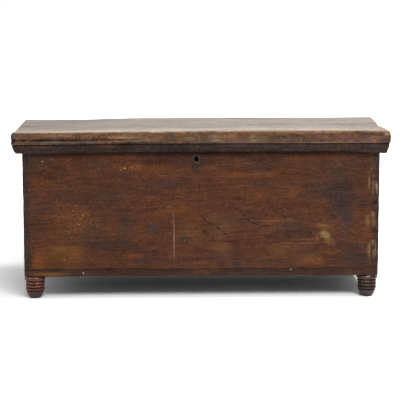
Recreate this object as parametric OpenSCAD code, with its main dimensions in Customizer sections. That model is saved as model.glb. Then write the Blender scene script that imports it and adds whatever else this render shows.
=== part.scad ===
// Blanket chest: a dovetailed softwood case on four turned feet. Its lid is two boards on battens,
// with a scratched bead round its edge and a mitred moulding below that drops over the case.
// Two strap hinges carry the lid, and a chest lock behind the keyhole holds it shut.
// +Z is up, the front faces -Y and the floor is at Z = 0, under the middle of the lid.

/* [Case] */
// Width of the case over its end boards
case_w = 1120; // [900:5:1300]
// Depth of the case over its front and back boards
case_d = 390; // [350:5:480]
// Height of the dovetailed walls
wall_h = 399; // [340:1:480]
// Thickness of the front, back and end boards
board_t = 25; // [22:0.5:30]
// Thickness of the bottom boards
bottom_t = 25; // [22:0.5:30]
// Depth of the front one of the two bottom boards
bottom_front_d = 205; // [150:5:240]
// Clearance in the joints between fixed boards
glue_gap = 0.1; // [0.05:0.05:0.2]

/* [Corner dovetails] */
// Number of tails at each left corner
left_tails = 3; // [2:1:4]
// Number of tails at each right corner
right_tails = 4; // [3:1:5]
// Width of a left pin on the outer face
left_pin_w = 27; // [20:1:32]
// Width of a right pin on the outer face
right_pin_w = 21; // [14:1:26]
// Height of the half pin at the bottom edge
low_half_pin = 17; // [12:1:22]
// Height of the half pin at the top edge
top_half_pin = 26; // [16:1:34]
// Length of slope that gives one millimetre of flare
tail_slope = 7; // [5:1:9]

/* [Feet] */
// Height of a foot below the bottom boards
foot_h = 72.5; // [62:0.5:90]
// Distance from the case's faces to a foot's axis
foot_inset = 31; // [30:1:45]
// Diameter of the collar at the top of a foot
collar_d = 68; // [64:1:68]
// Height of the collar
collar_h = 16.5; // [10:0.5:17]
// Diameter of the two rings below the collar
ring_d = 61.5; // [58:0.5:62]
// Height of the upper ring
upper_ring_h = 9; // [7:0.5:9.5]
// Height of the middle ring
middle_ring_h = 9; // [7:0.5:10.5]
// Diameter of the lower ring
lower_ring_d = 60.5; // [57:0.5:61]
// Height of the lower ring
lower_ring_h = 10; // [7:0.5:10.5]
// Height of the quirk between two rings
quirk_h = 1.2; // [0.8:0.1:1.6]
// Depth of the quirks below the rings
quirk_depth = 3; // [2:0.5:4]
// Diameter of the bulb at its top, below the rings
bulb_d = 56.5; // [54:0.5:59]
// Angle at which the bulb's side leans in towards the sole
bulb_lean = 20; // [16:1:21]
// Radius that rounds the bulb into its sole
bulb_round = 15; // [12:0.5:15.5]
// Diameter of the tenon that holds a foot in the bottom boards
tenon_d = 24; // [18:0.5:30]
// Height of the tenon
tenon_h = 19; // [14:0.5:20]

/* [Lid] */
// Thickness of the lid boards
lid_t = 40; // [32:0.5:44]
// Reach of the lid past the front of the case
front_overhang = 30; // [26:0.5:36]
// Reach of the lid past each end of the case
end_overhang = 31; // [26:0.5:36]
// Reach of the lid past the back of the case
rear_overhang = 18; // [16:0.5:22]
// Depth of the front one of the two lid boards
lid_front_d = 190; // [150:5:220]
// Rounding of the lid's upper edges
lid_arris = 4; // [2:0.5:6]
// Height of the bead scratched along the lid's lower edge
bead_h = 9; // [7:0.5:11]
// Height of the groove above the bead
groove_h = 3; // [2:0.5:4]
// Depth of the groove above the bead
groove_d = 2.5; // [1.5:0.5:3.5]
// Gap between the shut lid and the top of the case
lid_rest = 0.3; // [0.2:0.1:0.5]
// Width of a batten under the lid
batten_w = 45; // [35:1:60]
// Height of a batten
batten_h = 22; // [18:0.5:26]
// Distance from the end of the case to the middle of a batten
batten_inset = 260; // [230:5:320]
// Gap between a batten's ends and the case walls
batten_clear = 10; // [6:1:16]
// Distance from a batten's ends and the lid's joint to the screws
batten_screw_in = 36; // [26:1:40]
// Chamfer on a batten's lower ends
batten_chamfer = 10; // [5:1:14]

/* [Lid moulding] */
// Height of the moulding below the lid
moulding_h = 26; // [20:0.5:30]
// Step back from the lid's edge to the moulding
moulding_step = 3; // [1:0.5:5]
// Height of the straight fillet at the moulding's top
fillet_h = 5; // [3:0.5:8]
// How far the moulding's face draws in below the fillet
moulding_sweep = 10; // [6:0.5:12]
// Gap between the moulding and the case
moulding_clear = 2; // [1.5:0.5:4]
// Gap in the moulding's mitres
mitre_gap = 0.2; // [0.1:0.1:0.4]

/* [Till] */
// Width of the till inside the left end
till_w = 118; // [90:1:120]
// Depth of the till below its rim
till_depth = 110; // [80:1:140]
// Drop from the top of the case to the till's rim
till_drop = 8; // [6:1:20]
// Thickness of the till's boards
till_t = 12; // [9:0.5:13]
// Depth of the grooves that hold the till
till_groove = 6; // [4:0.5:8]

/* [Hinges] */
// Distance from the end of the case to the middle of a hinge
hinge_inset = 170; // [160:5:190]
// Width of the strap under the lid
strap_w = 28; // [22:1:30]
// Length of the strap from the pin
strap_l = 252; // [235:1:280]
// Thickness of the strap and the leaf
hinge_t = 3; // [2.5:0.25:3.5]
// Diameter of a knuckle
knuckle_d = 11; // [10.5:0.5:12]
// Diameter of the hinge pin
pin_d = 5; // [4:0.25:5.5]
// Diameter of the riveted ends of the hinge pin
pin_head_d = 7.5; // [7:0.5:9]
// Thickness of the riveted ends of the hinge pin
pin_head_t = 1.5; // [1:0.25:2]
// Width of each knuckle on the leaf
leaf_knuckle_w = 14; // [12:0.5:18]
// Height of the leaf on the back of the case
leaf_h = 72; // [60:1:90]
// Clipped corners of the leaf
leaf_clip = 8; // [4:1:12]
// Distance from a leaf's sides to its screws
leaf_screw_in = 10; // [8:0.5:12]
// Radial clearance of the pin in the knuckles
pin_fit = 0.06; // [0.04:0.01:0.08]
// Clearance between moving hinge faces
hinge_clear = 0.5; // [0.4:0.1:0.8]

/* [Lock] */
// Distance from the middle of the chest to the keyhole
key_x = -16; // [-30:1:0]
// Distance from the top of the case down to the key's axis
key_drop = 47; // [44:1:54]
// Distance from the keyhole to the middle of the lock
lock_shift = 10; // [6:1:14]
// Distance from the top of the case down to the lock plate
lock_drop = 8; // [5:1:12]
// Width of the keyhole
keyhole_w = 12; // [10:0.5:13]
// Height of the keyhole
keyhole_h = 18; // [15:0.5:20]
// Width of the escutcheon round the keyhole
escutcheon_w = 23; // [20:0.5:26]
// Width of the escutcheon's rim above the keyhole
escutcheon_rim = 4; // [3:0.5:5]
// Width of the escutcheon's rim below the keyhole
escutcheon_foot = 7; // [4:0.5:8]
// Thickness of the escutcheon
escutcheon_t = 5; // [3:0.5:6]
// How far the escutcheon stands out of the front board
escutcheon_proud = 0.6; // [0.4:0.1:1]
// Width of the lock plate
lock_w = 112; // [108:1:130]
// Height of the lock plate
lock_h = 80; // [76:1:90]
// Thickness of the lock plate
lock_plate_t = 2.5; // [2:0.25:3]
// Width of the lock case
lock_case_w = 90; // [86:1:94]
// Height of the lock case
lock_case_h = 64; // [62:1:68]
// Depth of the lock case inside
lock_case_d = 15; // [14:0.5:18]
// Wall of the lock case
lock_wall = 1.5; // [1:0.25:2]
// Height of the bolt bar
bolt_h = 7; // [6:0.5:7.5]
// Thickness of the bolt bar
bolt_t = 4.8; // [4:0.2:5]
// Length of the bolt bar
bolt_l = 52; // [48:1:54]
// Travel of the bolt
bolt_throw = 9; // [8:0.5:10]
// Diameter of the stump that guides the bolt
stump_d = 3; // [2.5:0.25:3.5]
// Diameter of the pin that carries the key
key_pin_d = 4; // [3.5:0.25:4.5]
// Height of the bolt's middle above the key's axis
bolt_rise = 19; // [18:0.5:20]
// Height of the heel below the bolt bar, where the key bites
heel_h = 4; // [3:0.5:5]
// Width of the key's notch in the heel
talon_w = 9; // [7:0.5:10]
// Metal left between that notch and the bolt bar
talon_rim = 1; // [0.5:0.25:1.5]
// Distance from the lock's middle to the staple
staple_shift = 26; // [24:1:28]
// Distance from the drawn-back bolt's tip to the stump
stump_back = 38; // [36:1:38]
// Distance from the drawn-back bolt's tip to its guide
guide_back = 8; // [7:1:10]
// Thickness of the guide
guide_t = 2; // [1.5:0.25:2.5]
// Metal of the guide above and below the bolt
guide_rim = 3; // [2:0.5:4]
// Length of the spring's bow
spring_l = 36; // [30:1:38]
// Sliding clearance inside the lock
lock_fit = 0.4; // [0.3:0.1:0.5]
// Thickness of the riveted pin ends
rivet_t = 1.2; // [1:0.1:1.5]
// Thickness of the spring's leaf
spring_t = 0.8; // [0.6:0.1:1]

/* [Link] */
// Width of the link plate under the lid
link_w = 62; // [56:1:70]
// Depth of the link plate from front to back
link_d = 18; // [16:1:20]
// Thickness of the link plate
link_t = 2.5; // [2:0.25:3]
// Thickness of the staple
staple_t = 4; // [3.5:0.25:4.5]
// Width of the staple across its eye
staple_w = 11; // [10:0.5:12]
// Width of the eye in the staple
eye_w = 6; // [5.5:0.25:6.5]
// Height of the eye in the staple
eye_h = 8.4; // [8:0.2:9]
// Metal below the eye
eye_foot = 3; // [2:0.5:4]

/* [Fasteners] */
// Shank diameter of the screws
screw_d = 4; // [3.5:0.25:4.5]
// Head diameter of the screws
screw_head_d = 7.6; // [7:0.2:8]
// Width and depth of the slot in a screw's head
screw_slot = 0.8; // [0.6:0.1:1]
// Length of the screws in the hinges
hinge_screw_l = 18; // [14:1:20]
// Length of the screws through the battens
batten_screw_l = 45; // [40:1:50]
// Length of the screws in the lock and link
lock_screw_l = 14; // [12:1:18]
// Width of the square shank of a nail
nail_w = 3; // [2.5:0.25:3.5]
// Diameter of a nail's head
nail_head_d = 8; // [7:0.5:10]
// Thickness of a nail's head
nail_head_t = 1.2; // [1:0.1:1.6]
// Length of the nails through the bottom boards
bottom_nail_l = 58; // [50:1:64]
// Length of the nails through the moulding
moulding_nail_l = 42; // [38:1:48]
// Clearance round screws and nails
fastener_gap = 0.1; // [0.05:0.05:0.2]

/* [Hidden] */
$fn = 64;

// Places of nails and screws, as shares of the run that they hold
bottom_nail_steps = [-0.86, -0.5, -0.12, 0.28, 0.64, 0.9];
end_nail_front_steps = [0.35, 0.8];
end_nail_rear_steps = [0.4];
moulding_nail_steps = [-0.9, -0.55, -0.2, 0.2, 0.55, 0.9];
moulding_end_nail_steps = [0.15, 0.5, 0.88];
strap_screw_steps = [0.28, 0.52, 0.74, 0.92];
leaf_screw_steps = [0.39, 0.81];

// How far a cutting shape runs past the face that it opens
past = 1;
left = -1;
right = 1;

// Heights
wall_z = foot_h + bottom_t;
case_top = wall_z + wall_h;
lid_z = case_top + lid_rest;

// Depths, with the middle of the lid at Y = 0
lid_w = case_w + 2 * end_overhang;
lid_d = front_overhang + case_d + rear_overhang;
lid_front = -lid_d / 2;
lid_back = lid_d / 2;
case_front = lid_front + front_overhang;
case_back = case_front + case_d;
inner_front = case_front + board_t;
inner_back = case_back - board_t;
case_mid = (case_front + case_back) / 2;
lid_joint = lid_front + lid_front_d;
bottom_joint = case_front + bottom_front_d;

// Half widths, and places counted in from the ends of the case
case_x = case_w / 2;
inner_x = case_x - board_t;
batten_x = case_x - batten_inset;
hinge_x = case_x - hinge_inset;

// Hinge axis, behind the back board and below the lid
knuckle_r = knuckle_d / 2;
axis_y = case_back + knuckle_r + hinge_clear;
axis_z = lid_z - knuckle_r - hinge_clear;

// Lock places, on the inner face of the front board
key_z = case_top - key_drop;
lock_x = key_x + lock_shift;
lock_top = case_top - lock_drop;
lock_case_top = lock_top - (lock_h - lock_case_h) * 3 / 8;
lock_back = inner_front + lock_plate_t;
bolt_y = lock_back + lock_case_d / 2;
bolt_z = key_z + bolt_rise;
staple_x = lock_x + staple_shift;
bolt_tip = staple_x - staple_t / 2 - 2.5 * lock_fit;
staple_end = bolt_z - eye_h / 2 - eye_foot;
stump_x = bolt_tip - stump_back;
guide_x = bolt_tip - guide_back;

// Extrudes a section drawn in (Y, Z) from one X to another
module along_x(x0, x1) {
    translate([x0, 0, 0]) rotate([90, 0, 90]) linear_extrude(x1 - x0) children();
}

// Extrudes a section drawn in (X, Z) from one Y to another
module along_y(y0, y1) {
    translate([0, y1, 0]) rotate([90, 0, 0]) linear_extrude(y1 - y0) children();
}

// Draws its children on both sides of the chest's middle plane
module both_ends() {
    children();
    mirror([1, 0, 0]) children();
}

// A block given by its lowest and highest corners
module block(low, high) {
    translate(low) cube(high - low);
}

// Countersunk screw that points along +Z, with its head flush at Z = 0
module screw(len) {
    sink = (screw_head_d - screw_d) / 2;
    difference() {
        union() {
            cylinder(h = sink, d1 = screw_head_d, d2 = screw_d);
            cylinder(h = len, d = screw_d);
        }
        block([-screw_head_d, -screw_slot / 2, -past], [screw_head_d, screw_slot / 2, screw_slot]);
    }
}

// Hole for that screw
module screw_hole(len) {
    grow = 2 * fastener_gap;
    sink = (screw_head_d - screw_d) / 2;
    cylinder(h = sink, d1 = screw_head_d + grow, d2 = screw_d + grow);
    cylinder(h = len + fastener_gap, d = screw_d + grow);
    translate([0, 0, -past]) cylinder(h = past, d = screw_head_d + grow);
}

// Forged nail that points along +Z, with its head below Z = 0
module nail(len) {
    translate([0, 0, -nail_head_t]) cylinder(h = nail_head_t, d = nail_head_d);
    block([-nail_w / 2, -nail_w / 2, 0], [nail_w / 2, nail_w / 2, len]);
}

// Hole for the nail's shank
module nail_hole(len) {
    half = nail_w / 2 + fastener_gap;
    block([-half, -half, -past], [half, half, len + fastener_gap]);
}

// Tails at one end of the case, front and back, grown by a gap where they cut their sockets
module tail_rows(side, grow) {
    count = side == left ? left_tails : right_tails;
    pin_w = side == left ? left_pin_w : right_pin_w;
    tail_w = (wall_h - low_half_pin - top_half_pin - (count - 1) * pin_w) / count;
    flare = board_t / tail_slope;
    out = grow > 0 ? past : 0;
    x_in = inner_x - grow;
    x_out = case_x + out;
    for (flip = [0, 1]) translate([0, case_mid, 0]) mirror([0, flip, 0]) translate([0, -case_mid, 0])
    for (i = [0 : count - 1]) let (z0 = wall_z + low_half_pin + i * (tail_w + pin_w), z1 = z0 + tail_w)
        along_x(side == left ? -x_out : x_in, side == left ? -x_in : x_out)
            polygon([
                [case_front - out, z0 - grow],
                [case_front, z0 - grow],
                [inner_front, z0 + flare - grow],
                [inner_front + past, z0 + flare - grow],
                [inner_front + past, z1 - flare + grow],
                [inner_front, z1 - flare + grow],
                [case_front, z1 + grow],
                [case_front - out, z1 + grow]
            ]);
}

// Pin board, front or back, with a socket for each tail
module pin_board(y0, y1) {
    difference() {
        block([-case_x, y0, wall_z], [case_x, y1, case_top]);
        tail_rows(left, glue_gap);
        tail_rows(right, glue_gap);
        till_grooves();
        at_bottom_nails() nail_hole(bottom_nail_l);
        children();
    }
}

// Tail board at one end of the case
module tail_board(side) {
    difference() {
        union() {
            block(
                [side == left ? -case_x : inner_x, inner_front + glue_gap, wall_z],
                [side == left ? -inner_x : case_x, inner_back - glue_gap, case_top]);
            tail_rows(side, 0);
        }
        at_bottom_nails() nail_hole(bottom_nail_l);
        if (side == left) till_grooves();
    }
}

// Places of the nails that hold the bottom boards, head down
module at_bottom_nails() {
    mid = board_t / 2;
    for (x = bottom_nail_steps, y = [case_front + mid, case_back - mid])
        translate([x * inner_x, y, foot_h]) children();
    front_rows = [for (t = end_nail_front_steps) case_front + t * bottom_front_d];
    rear_rows = [for (t = end_nail_rear_steps) bottom_joint + t * (case_back - bottom_joint)];
    for (side = [left, right], y = concat(front_rows, rear_rows))
        translate([side * (case_x - mid), y, foot_h]) children();
}

// Axes of the four feet
function foot_place(side, row) = [
    side * (case_x - foot_inset),
    row == "front" ? case_front + foot_inset : case_back - foot_inset,
    0
];

module tenon_sockets() {
    for (side = [left, right], row = ["front", "rear"])
        translate(foot_place(side, row) + [0, 0, foot_h - past])
            cylinder(h = past + tenon_h + past, d = tenon_d + 2 * glue_gap);
}

// Bottom board, nailed up under the walls
module bottom_board(y0, y1) {
    color("#6b4527") difference() {
        block([-case_x, y0, foot_h], [case_x, y1, wall_z]);
        tenon_sockets();
        at_bottom_nails() nail_hole(bottom_nail_l);
    }
}

// Half section of one turned ring, with a round edge
module ring_section(z0, height, dia) {
    translate([0, z0]) square([dia / 2 - height / 2, height]);
    translate([dia / 2 - height / 2, z0 + height / 2]) circle(d = height);
}

// Half section of the bulb, its side straight down to where the sole's rounding takes over
module bulb_section(height) {
    rounding_top = bulb_round * (1 - sin(bulb_lean));
    side_foot = bulb_d / 2 - (height - rounding_top) * tan(bulb_lean);
    sole_r = side_foot - bulb_round * cos(bulb_lean);
    polygon([[0, 0], [sole_r, 0], [side_foot, rounding_top], [bulb_d / 2, height], [0, height]]);
    translate([sole_r, bulb_round]) circle(r = bulb_round);
}

// Half section of a turned foot, floor up
module foot_section() {
    upper_z = foot_h - collar_h - quirk_h - upper_ring_h;
    middle_z = upper_z - quirk_h - middle_ring_h;
    lower_z = middle_z - quirk_h - lower_ring_h;
    bulb_h = lower_z - quirk_h;
    core_z = bulb_h - past;
    translate([0, core_z]) square([ring_d / 2 - quirk_depth, foot_h - core_z]);
    ring_section(foot_h - collar_h, collar_h, collar_d);
    ring_section(upper_z, upper_ring_h, ring_d);
    ring_section(middle_z, middle_ring_h, ring_d);
    ring_section(lower_z, lower_ring_h, lower_ring_d);
    bulb_section(bulb_h);
}

// Turned foot with its tenon
module foot(side, row) {
    color("#5a2e1c") translate(foot_place(side, row)) {
        rotate_extrude() intersection() {
            foot_section();
            square([collar_d, foot_h]);
        }
        translate([0, 0, foot_h - past]) cylinder(h = past + tenon_h, d = tenon_d);
    }
}

// Till places
till_top = case_top - till_drop;
till_floor = till_top - till_depth;
till_x = -inner_x + till_w;

// Boards of the till, grown to cut their grooves
module till_side_shape(grow) {
    reach = till_groove + grow - glue_gap;
    block(
        [till_x - grow, inner_front - reach, till_floor - till_t - grow],
        [till_x + till_t + grow, inner_back + reach, till_top + grow]);
}

module till_bottom_shape(grow) {
    reach = till_groove + grow - glue_gap;
    block(
        [-inner_x - reach, inner_front - reach, till_floor - till_t - grow],
        [till_x - glue_gap, inner_back + reach, till_floor + grow]);
}

module till_grooves() {
    till_side_shape(glue_gap);
    till_bottom_shape(glue_gap);
}

module till_side() {
    color("#7a5230") till_side_shape(0);
}

module till_bottom() {
    color("#7a5230") difference() {
        till_bottom_shape(0);
        // Corners notched round the tails of the left corners
        for (y = [inner_front - board_t, inner_back])
            block(
                [-case_x, y, till_floor - till_t - past],
                [-inner_x + glue_gap, y + board_t, till_floor + past]);
    }
}

// Round-topped slot of the keyhole, drawn in (X, Z) about the key's axis
module keyhole_shape() {
    circle(d = keyhole_w);
    translate([-keyhole_w / 2, keyhole_w / 2 - keyhole_h]) square([keyhole_w, keyhole_h - keyhole_w / 2]);
}

// U-shaped outline of the escutcheon, grown where it cuts its seat
module escutcheon_shape(grow) {
    top = keyhole_w / 2 + escutcheon_rim + grow;
    half = escutcheon_w / 2 + grow;
    low = keyhole_w / 2 - keyhole_h - escutcheon_foot - grow;
    translate([0, low + half]) circle(r = half);
    translate([-half, low + half]) square([2 * half, top - low - half]);
}

module at_key() {
    translate([key_x, 0, key_z]) children();
}

module front_board() {
    color("#6a4126") pin_board(case_front, inner_front) {
        at_key() along_y(case_front - past, inner_front + past) keyhole_shape();
        at_key() along_y(case_front - past, case_front + escutcheon_t - escutcheon_proud + glue_gap)
            escutcheon_shape(glue_gap);
        at_lock_screws() screw_hole(lock_screw_l);
    }
}

module back_board() {
    color("#6a4126") pin_board(inner_back, case_back) {
        for (side = [left, right]) hinge_notch(side);
        at_leaf_screws() screw_hole(hinge_screw_l);
    }
}

module escutcheon() {
    color("#6d6467") at_key()
        along_y(case_front - escutcheon_proud, case_front - escutcheon_proud + escutcheon_t) difference() {
            escutcheon_shape(0);
            keyhole_shape();
        }
}

// Notch in the back board's top edge that lets the strap through
module hinge_notch(side) {
    half = strap_w / 2 + 2 * hinge_clear;
    low = lid_z - hinge_t - 2 * hinge_clear;
    block(
        [side * hinge_x - half, inner_back - past, low],
        [side * hinge_x + half, case_back + past, case_top + past]);
}

// Cuts the section of the lid's edge: upper arris, groove and bead
module edge_cuts() {
    translate([0, lid_t - lid_arris]) difference() {
        translate([-past, 0]) square(lid_arris + past);
        translate([lid_arris, 0]) circle(r = lid_arris);
    }
    translate([-past, bead_h]) square([groove_d + past, groove_h]);
    difference() {
        translate([-past, -past]) square([bead_h / 2 + past, bead_h + past]);
        translate([bead_h / 2, bead_h / 2]) circle(d = bead_h);
    }
}

// Lid board from one Y to another, with the edge worked on the front and both ends
module lid_board(y0, y1) {
    color("#84603a") difference() {
        block([-lid_w / 2, y0, lid_z], [lid_w / 2, y1, lid_z + lid_t]);
        along_x(-lid_w / 2 - past, lid_w / 2 + past) translate([lid_front, lid_z]) edge_cuts();
        both_ends() along_y(lid_front - past, lid_back + past) translate([-lid_w / 2, lid_z]) edge_cuts();
        for (side = [left, right]) at_strap_screws(side) screw_hole(hinge_screw_l);
        at_batten_screws() screw_hole(batten_screw_l);
        at_link_screws() screw_hole(lock_screw_l);
        at_moulding_nails() nail_hole(moulding_nail_l);
    }
}

// Section of the moulding, drawn inwards from the lid's edge and down from its underside
module moulding_section(inner) {
    drop = moulding_h - fillet_h;
    radius = (pow(moulding_sweep, 2) + pow(drop, 2)) / (2 * moulding_sweep);
    intersection() {
        translate([moulding_step, -moulding_h]) square([inner - moulding_step, moulding_h]);
        union() {
            translate([0, -fillet_h]) square([inner, fillet_h]);
            translate([moulding_step + radius, -fillet_h]) circle(r = radius, $fn = 128);
        }
    }
}

// Plan of the mitred corner that separates the front moulding from the end ones
module front_mitre_plan(gap) {
    reach = 3 * end_overhang;
    polygon([
        [-lid_w / 2 - past + gap, lid_front - past],
        [lid_w / 2 + past - gap, lid_front - past],
        [lid_w / 2 - reach - gap, lid_front + reach],
        [-lid_w / 2 + reach + gap, lid_front + reach]
    ]);
}

module lid_moulding_front() {
    color("#40332d") difference() {
        intersection() {
            along_x(-lid_w / 2 + moulding_step, lid_w / 2 - moulding_step)
                translate([lid_front, lid_z]) moulding_section(front_overhang - moulding_clear);
            translate([0, 0, lid_z - moulding_h]) linear_extrude(moulding_h) front_mitre_plan(mitre_gap);
        }
        at_moulding_nails() nail_hole(moulding_nail_l);
    }
}

module lid_moulding_end(side) {
    color("#40332d") difference() {
        mirror([side == left ? 0 : 1, 0, 0]) along_y(lid_front + moulding_step, lid_back)
            translate([-lid_w / 2, lid_z]) moulding_section(end_overhang - moulding_clear);
        translate([0, 0, lid_z - moulding_h - past])
            linear_extrude(moulding_h + 2 * past) front_mitre_plan(0);
        at_moulding_nails() nail_hole(moulding_nail_l);
    }
}

// Places of the nails up through the moulding, in the middle of its lower face
module at_moulding_nails() {
    inset = moulding_step + moulding_sweep;
    mid_front = lid_front + (inset + front_overhang - moulding_clear) / 2;
    mid_end = lid_w / 2 - (inset + end_overhang - moulding_clear) / 2;
    z = lid_z - moulding_h;
    for (t = moulding_nail_steps) translate([t * case_x, mid_front, z]) children();
    for (side = [left, right], t = moulding_end_nail_steps)
        translate([side * mid_end, lid_front + t * lid_d, z]) children();
}

// Batten under the lid, from wall to wall inside the case
module batten(side) {
    y0 = inner_front + batten_clear;
    y1 = inner_back - batten_clear;
    z0 = lid_z - batten_h;
    color("#7a5230") difference() {
        along_x(side * batten_x - batten_w / 2, side * batten_x + batten_w / 2) polygon([
            [y0, lid_z],
            [y0, z0 + batten_chamfer],
            [y0 + batten_chamfer, z0],
            [y1 - batten_chamfer, z0],
            [y1, z0 + batten_chamfer],
            [y1, lid_z]
        ]);
        at_batten_screws() screw_hole(batten_screw_l);
    }
}

module at_batten_screws() {
    end_in = batten_clear + batten_screw_in;
    rows = [inner_front + end_in, lid_joint - batten_screw_in, lid_joint + batten_screw_in, inner_back - end_in];
    for (side = [left, right], y = rows) translate([side * batten_x, y, lid_z - batten_h]) children();
}

// Knuckle about the hinge axis, from one X to another
module knuckle(x0, x1) {
    translate([x0, axis_y, axis_z]) rotate([0, 90, 0]) cylinder(h = x1 - x0, d = knuckle_d);
}

module knuckle_bore(side) {
    reach = strap_w + leaf_knuckle_w;
    translate([side * hinge_x - reach, axis_y, axis_z]) rotate([0, 90, 0])
        cylinder(h = 2 * reach, d = pin_d + 2 * pin_fit);
}

// Strap of a hinge, flat under the lid, with a round end
module hinge_strap(side) {
    x = side * hinge_x;
    half = strap_w / 2;
    end_y = axis_y - strap_l + half;
    color("#38342f") difference() {
        union() {
            block([x - half, end_y, lid_z - hinge_t], [x + half, axis_y, lid_z]);
            translate([x, end_y, lid_z - hinge_t]) cylinder(h = hinge_t, r = half);
            knuckle(x - half, x + half);
        }
        knuckle_bore(side);
        at_strap_screws(side) screw_hole(hinge_screw_l);
    }
}

module at_strap_screws(side) {
    for (t = strap_screw_steps)
        translate([side * hinge_x, axis_y - t * strap_l, lid_z - hinge_t]) children();
}

// Half width of a leaf over both of its knuckles
leaf_half = strap_w / 2 + hinge_clear + leaf_knuckle_w;

// Leaf of a hinge, flat on the back of the case
module hinge_leaf(side) {
    x = side * hinge_x;
    gap_half = strap_w / 2 + hinge_clear;
    color("#38342f") difference() {
        union() {
            along_y(case_back, case_back + hinge_t) polygon([
                [x - leaf_half, axis_z],
                [x - leaf_half, axis_z - leaf_h + leaf_clip],
                [x - leaf_half + leaf_clip, axis_z - leaf_h],
                [x + leaf_half - leaf_clip, axis_z - leaf_h],
                [x + leaf_half, axis_z - leaf_h + leaf_clip],
                [x + leaf_half, axis_z]
            ]);
            for (s = [left, right]) let (mid = x + s * (gap_half + leaf_half) / 2, half = leaf_knuckle_w / 2) {
                knuckle(mid - half, mid + half);
                // Web that joins the knuckle to the plate
                block([mid - half, case_back, axis_z - knuckle_r], [mid + half, axis_y, axis_z]);
            }
        }
        // Room for the strap's knuckle
        block(
            [x - gap_half, case_back - past, axis_z - knuckle_r - 2 * hinge_clear],
            [x + gap_half, axis_y + knuckle_d, lid_z]);
        knuckle_bore(side);
        at_leaf_screws() screw_hole(hinge_screw_l);
    }
}

module at_leaf_screws() {
    for (side = [left, right], s = [left, right], t = leaf_screw_steps)
        translate([side * hinge_x + s * (leaf_half - leaf_screw_in), case_back + hinge_t, axis_z - t * leaf_h])
            rotate([90, 0, 0]) children();
}

module hinge_pin(side) {
    x = side * hinge_x;
    head = leaf_half + glue_gap;
    color("#4a4540") translate([x, axis_y, axis_z]) rotate([0, 90, 0]) {
        translate([0, 0, -head]) cylinder(h = 2 * head, d = pin_d);
        for (z = [-head - pin_head_t, head]) translate([0, 0, z]) cylinder(h = pin_head_t, d = pin_head_d);
    }
}

// Places of the lock's screws, from inside the case into the front board
module at_lock_screws() {
    rim = (lock_w - lock_case_w) / 4;
    for (s = [left, right], z = [lock_top - 1.6 * rim, lock_top - lock_h + 1.6 * rim])
        translate([lock_x + s * (lock_w / 2 - rim), lock_back, z]) rotate([90, 0, 0]) children();
}

module lock_plate() {
    color("#4a423c") difference() {
        block(
            [lock_x - lock_w / 2, inner_front, lock_top - lock_h],
            [lock_x + lock_w / 2, lock_back, lock_top]);
        at_key() along_y(inner_front - past, lock_back + past) keyhole_shape();
        at_lock_screws() screw_hole(lock_screw_l);
    }
}

// Sunk case of the lock: a tray open towards the plate, with a mouth for the staple
module lock_case() {
    x0 = lock_x - lock_case_w / 2;
    x1 = lock_x + lock_case_w / 2;
    z0 = lock_case_top - lock_case_h;
    deep = lock_back + lock_case_d;
    mouth_x = staple_t / 2 + 2.5 * lock_fit;
    mouth_y = lock_case_d / 2;
    color("#443c37") difference() {
        union() {
            difference() {
                block([x0, lock_back, z0], [x1, deep + lock_wall, lock_case_top]);
                block(
                    [x0 + lock_wall, lock_back - past, z0 + lock_wall],
                    [x1 - lock_wall, deep, lock_case_top - lock_wall]);
            }
            // Guide that the bolt slides through, beside the staple
            block(
                [guide_x - guide_t / 2, lock_back + lock_fit, bolt_z - bolt_h / 2 - guide_rim],
                [guide_x + guide_t / 2, deep + lock_wall / 2, bolt_z + bolt_h / 2 + guide_rim]);
        }
        bolt_bar(lock_fit, 2 * (bolt_tip - guide_x));
        block(
            [staple_x - mouth_x, bolt_y - mouth_y, lock_case_top - lock_wall - past],
            [staple_x + mouth_x, bolt_y + mouth_y, lock_case_top + past]);
        pin_place(key_x, key_z) cylinder(h = 2 * lock_case_d, d = key_pin_d + 2 * pin_fit);
        pin_place(stump_x, bolt_z) cylinder(h = 2 * lock_case_d, d = stump_d + 2 * pin_fit);
    }
}

// Bar of the bolt, or the room that it needs inside the case
module bolt_bar(grow, len) {
    block(
        [bolt_tip - len, bolt_y - bolt_t / 2 - grow, bolt_z - bolt_h / 2 - grow],
        [bolt_tip + grow, bolt_y + bolt_t / 2 + grow, bolt_z + bolt_h / 2 + grow]);
}

// Pin that starts at the plate's back face and runs back into the case
module pin_place(x, z) {
    translate([x, lock_back, z]) rotate([-90, 0, 0]) children();
}

// Bolt with a slot for the stump and a talon notch for the key
module lock_bolt() {
    heel_end = guide_x - guide_t / 2 - bolt_throw - 2 * lock_fit;
    slot_half = stump_d / 2 + lock_fit;
    color("#6c655d") difference() {
        union() {
            bolt_bar(0, bolt_l);
            block(
                [bolt_tip - bolt_l, bolt_y - bolt_t / 2, bolt_z - bolt_h / 2 - heel_h],
                [heel_end, bolt_y + bolt_t / 2, bolt_z]);
        }
        along_y(bolt_y - bolt_t, bolt_y + bolt_t) {
            for (dx = [0, -bolt_throw]) translate([stump_x + dx, bolt_z]) circle(r = slot_half);
            translate([stump_x - bolt_throw, bolt_z - slot_half]) square([bolt_throw, 2 * slot_half]);
        }
        block(
            [key_x - talon_w, bolt_y - bolt_t, bolt_z - bolt_h / 2 - heel_h - past],
            [key_x, bolt_y + bolt_t, bolt_z - bolt_h / 2 - talon_rim]);
    }
}

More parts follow.
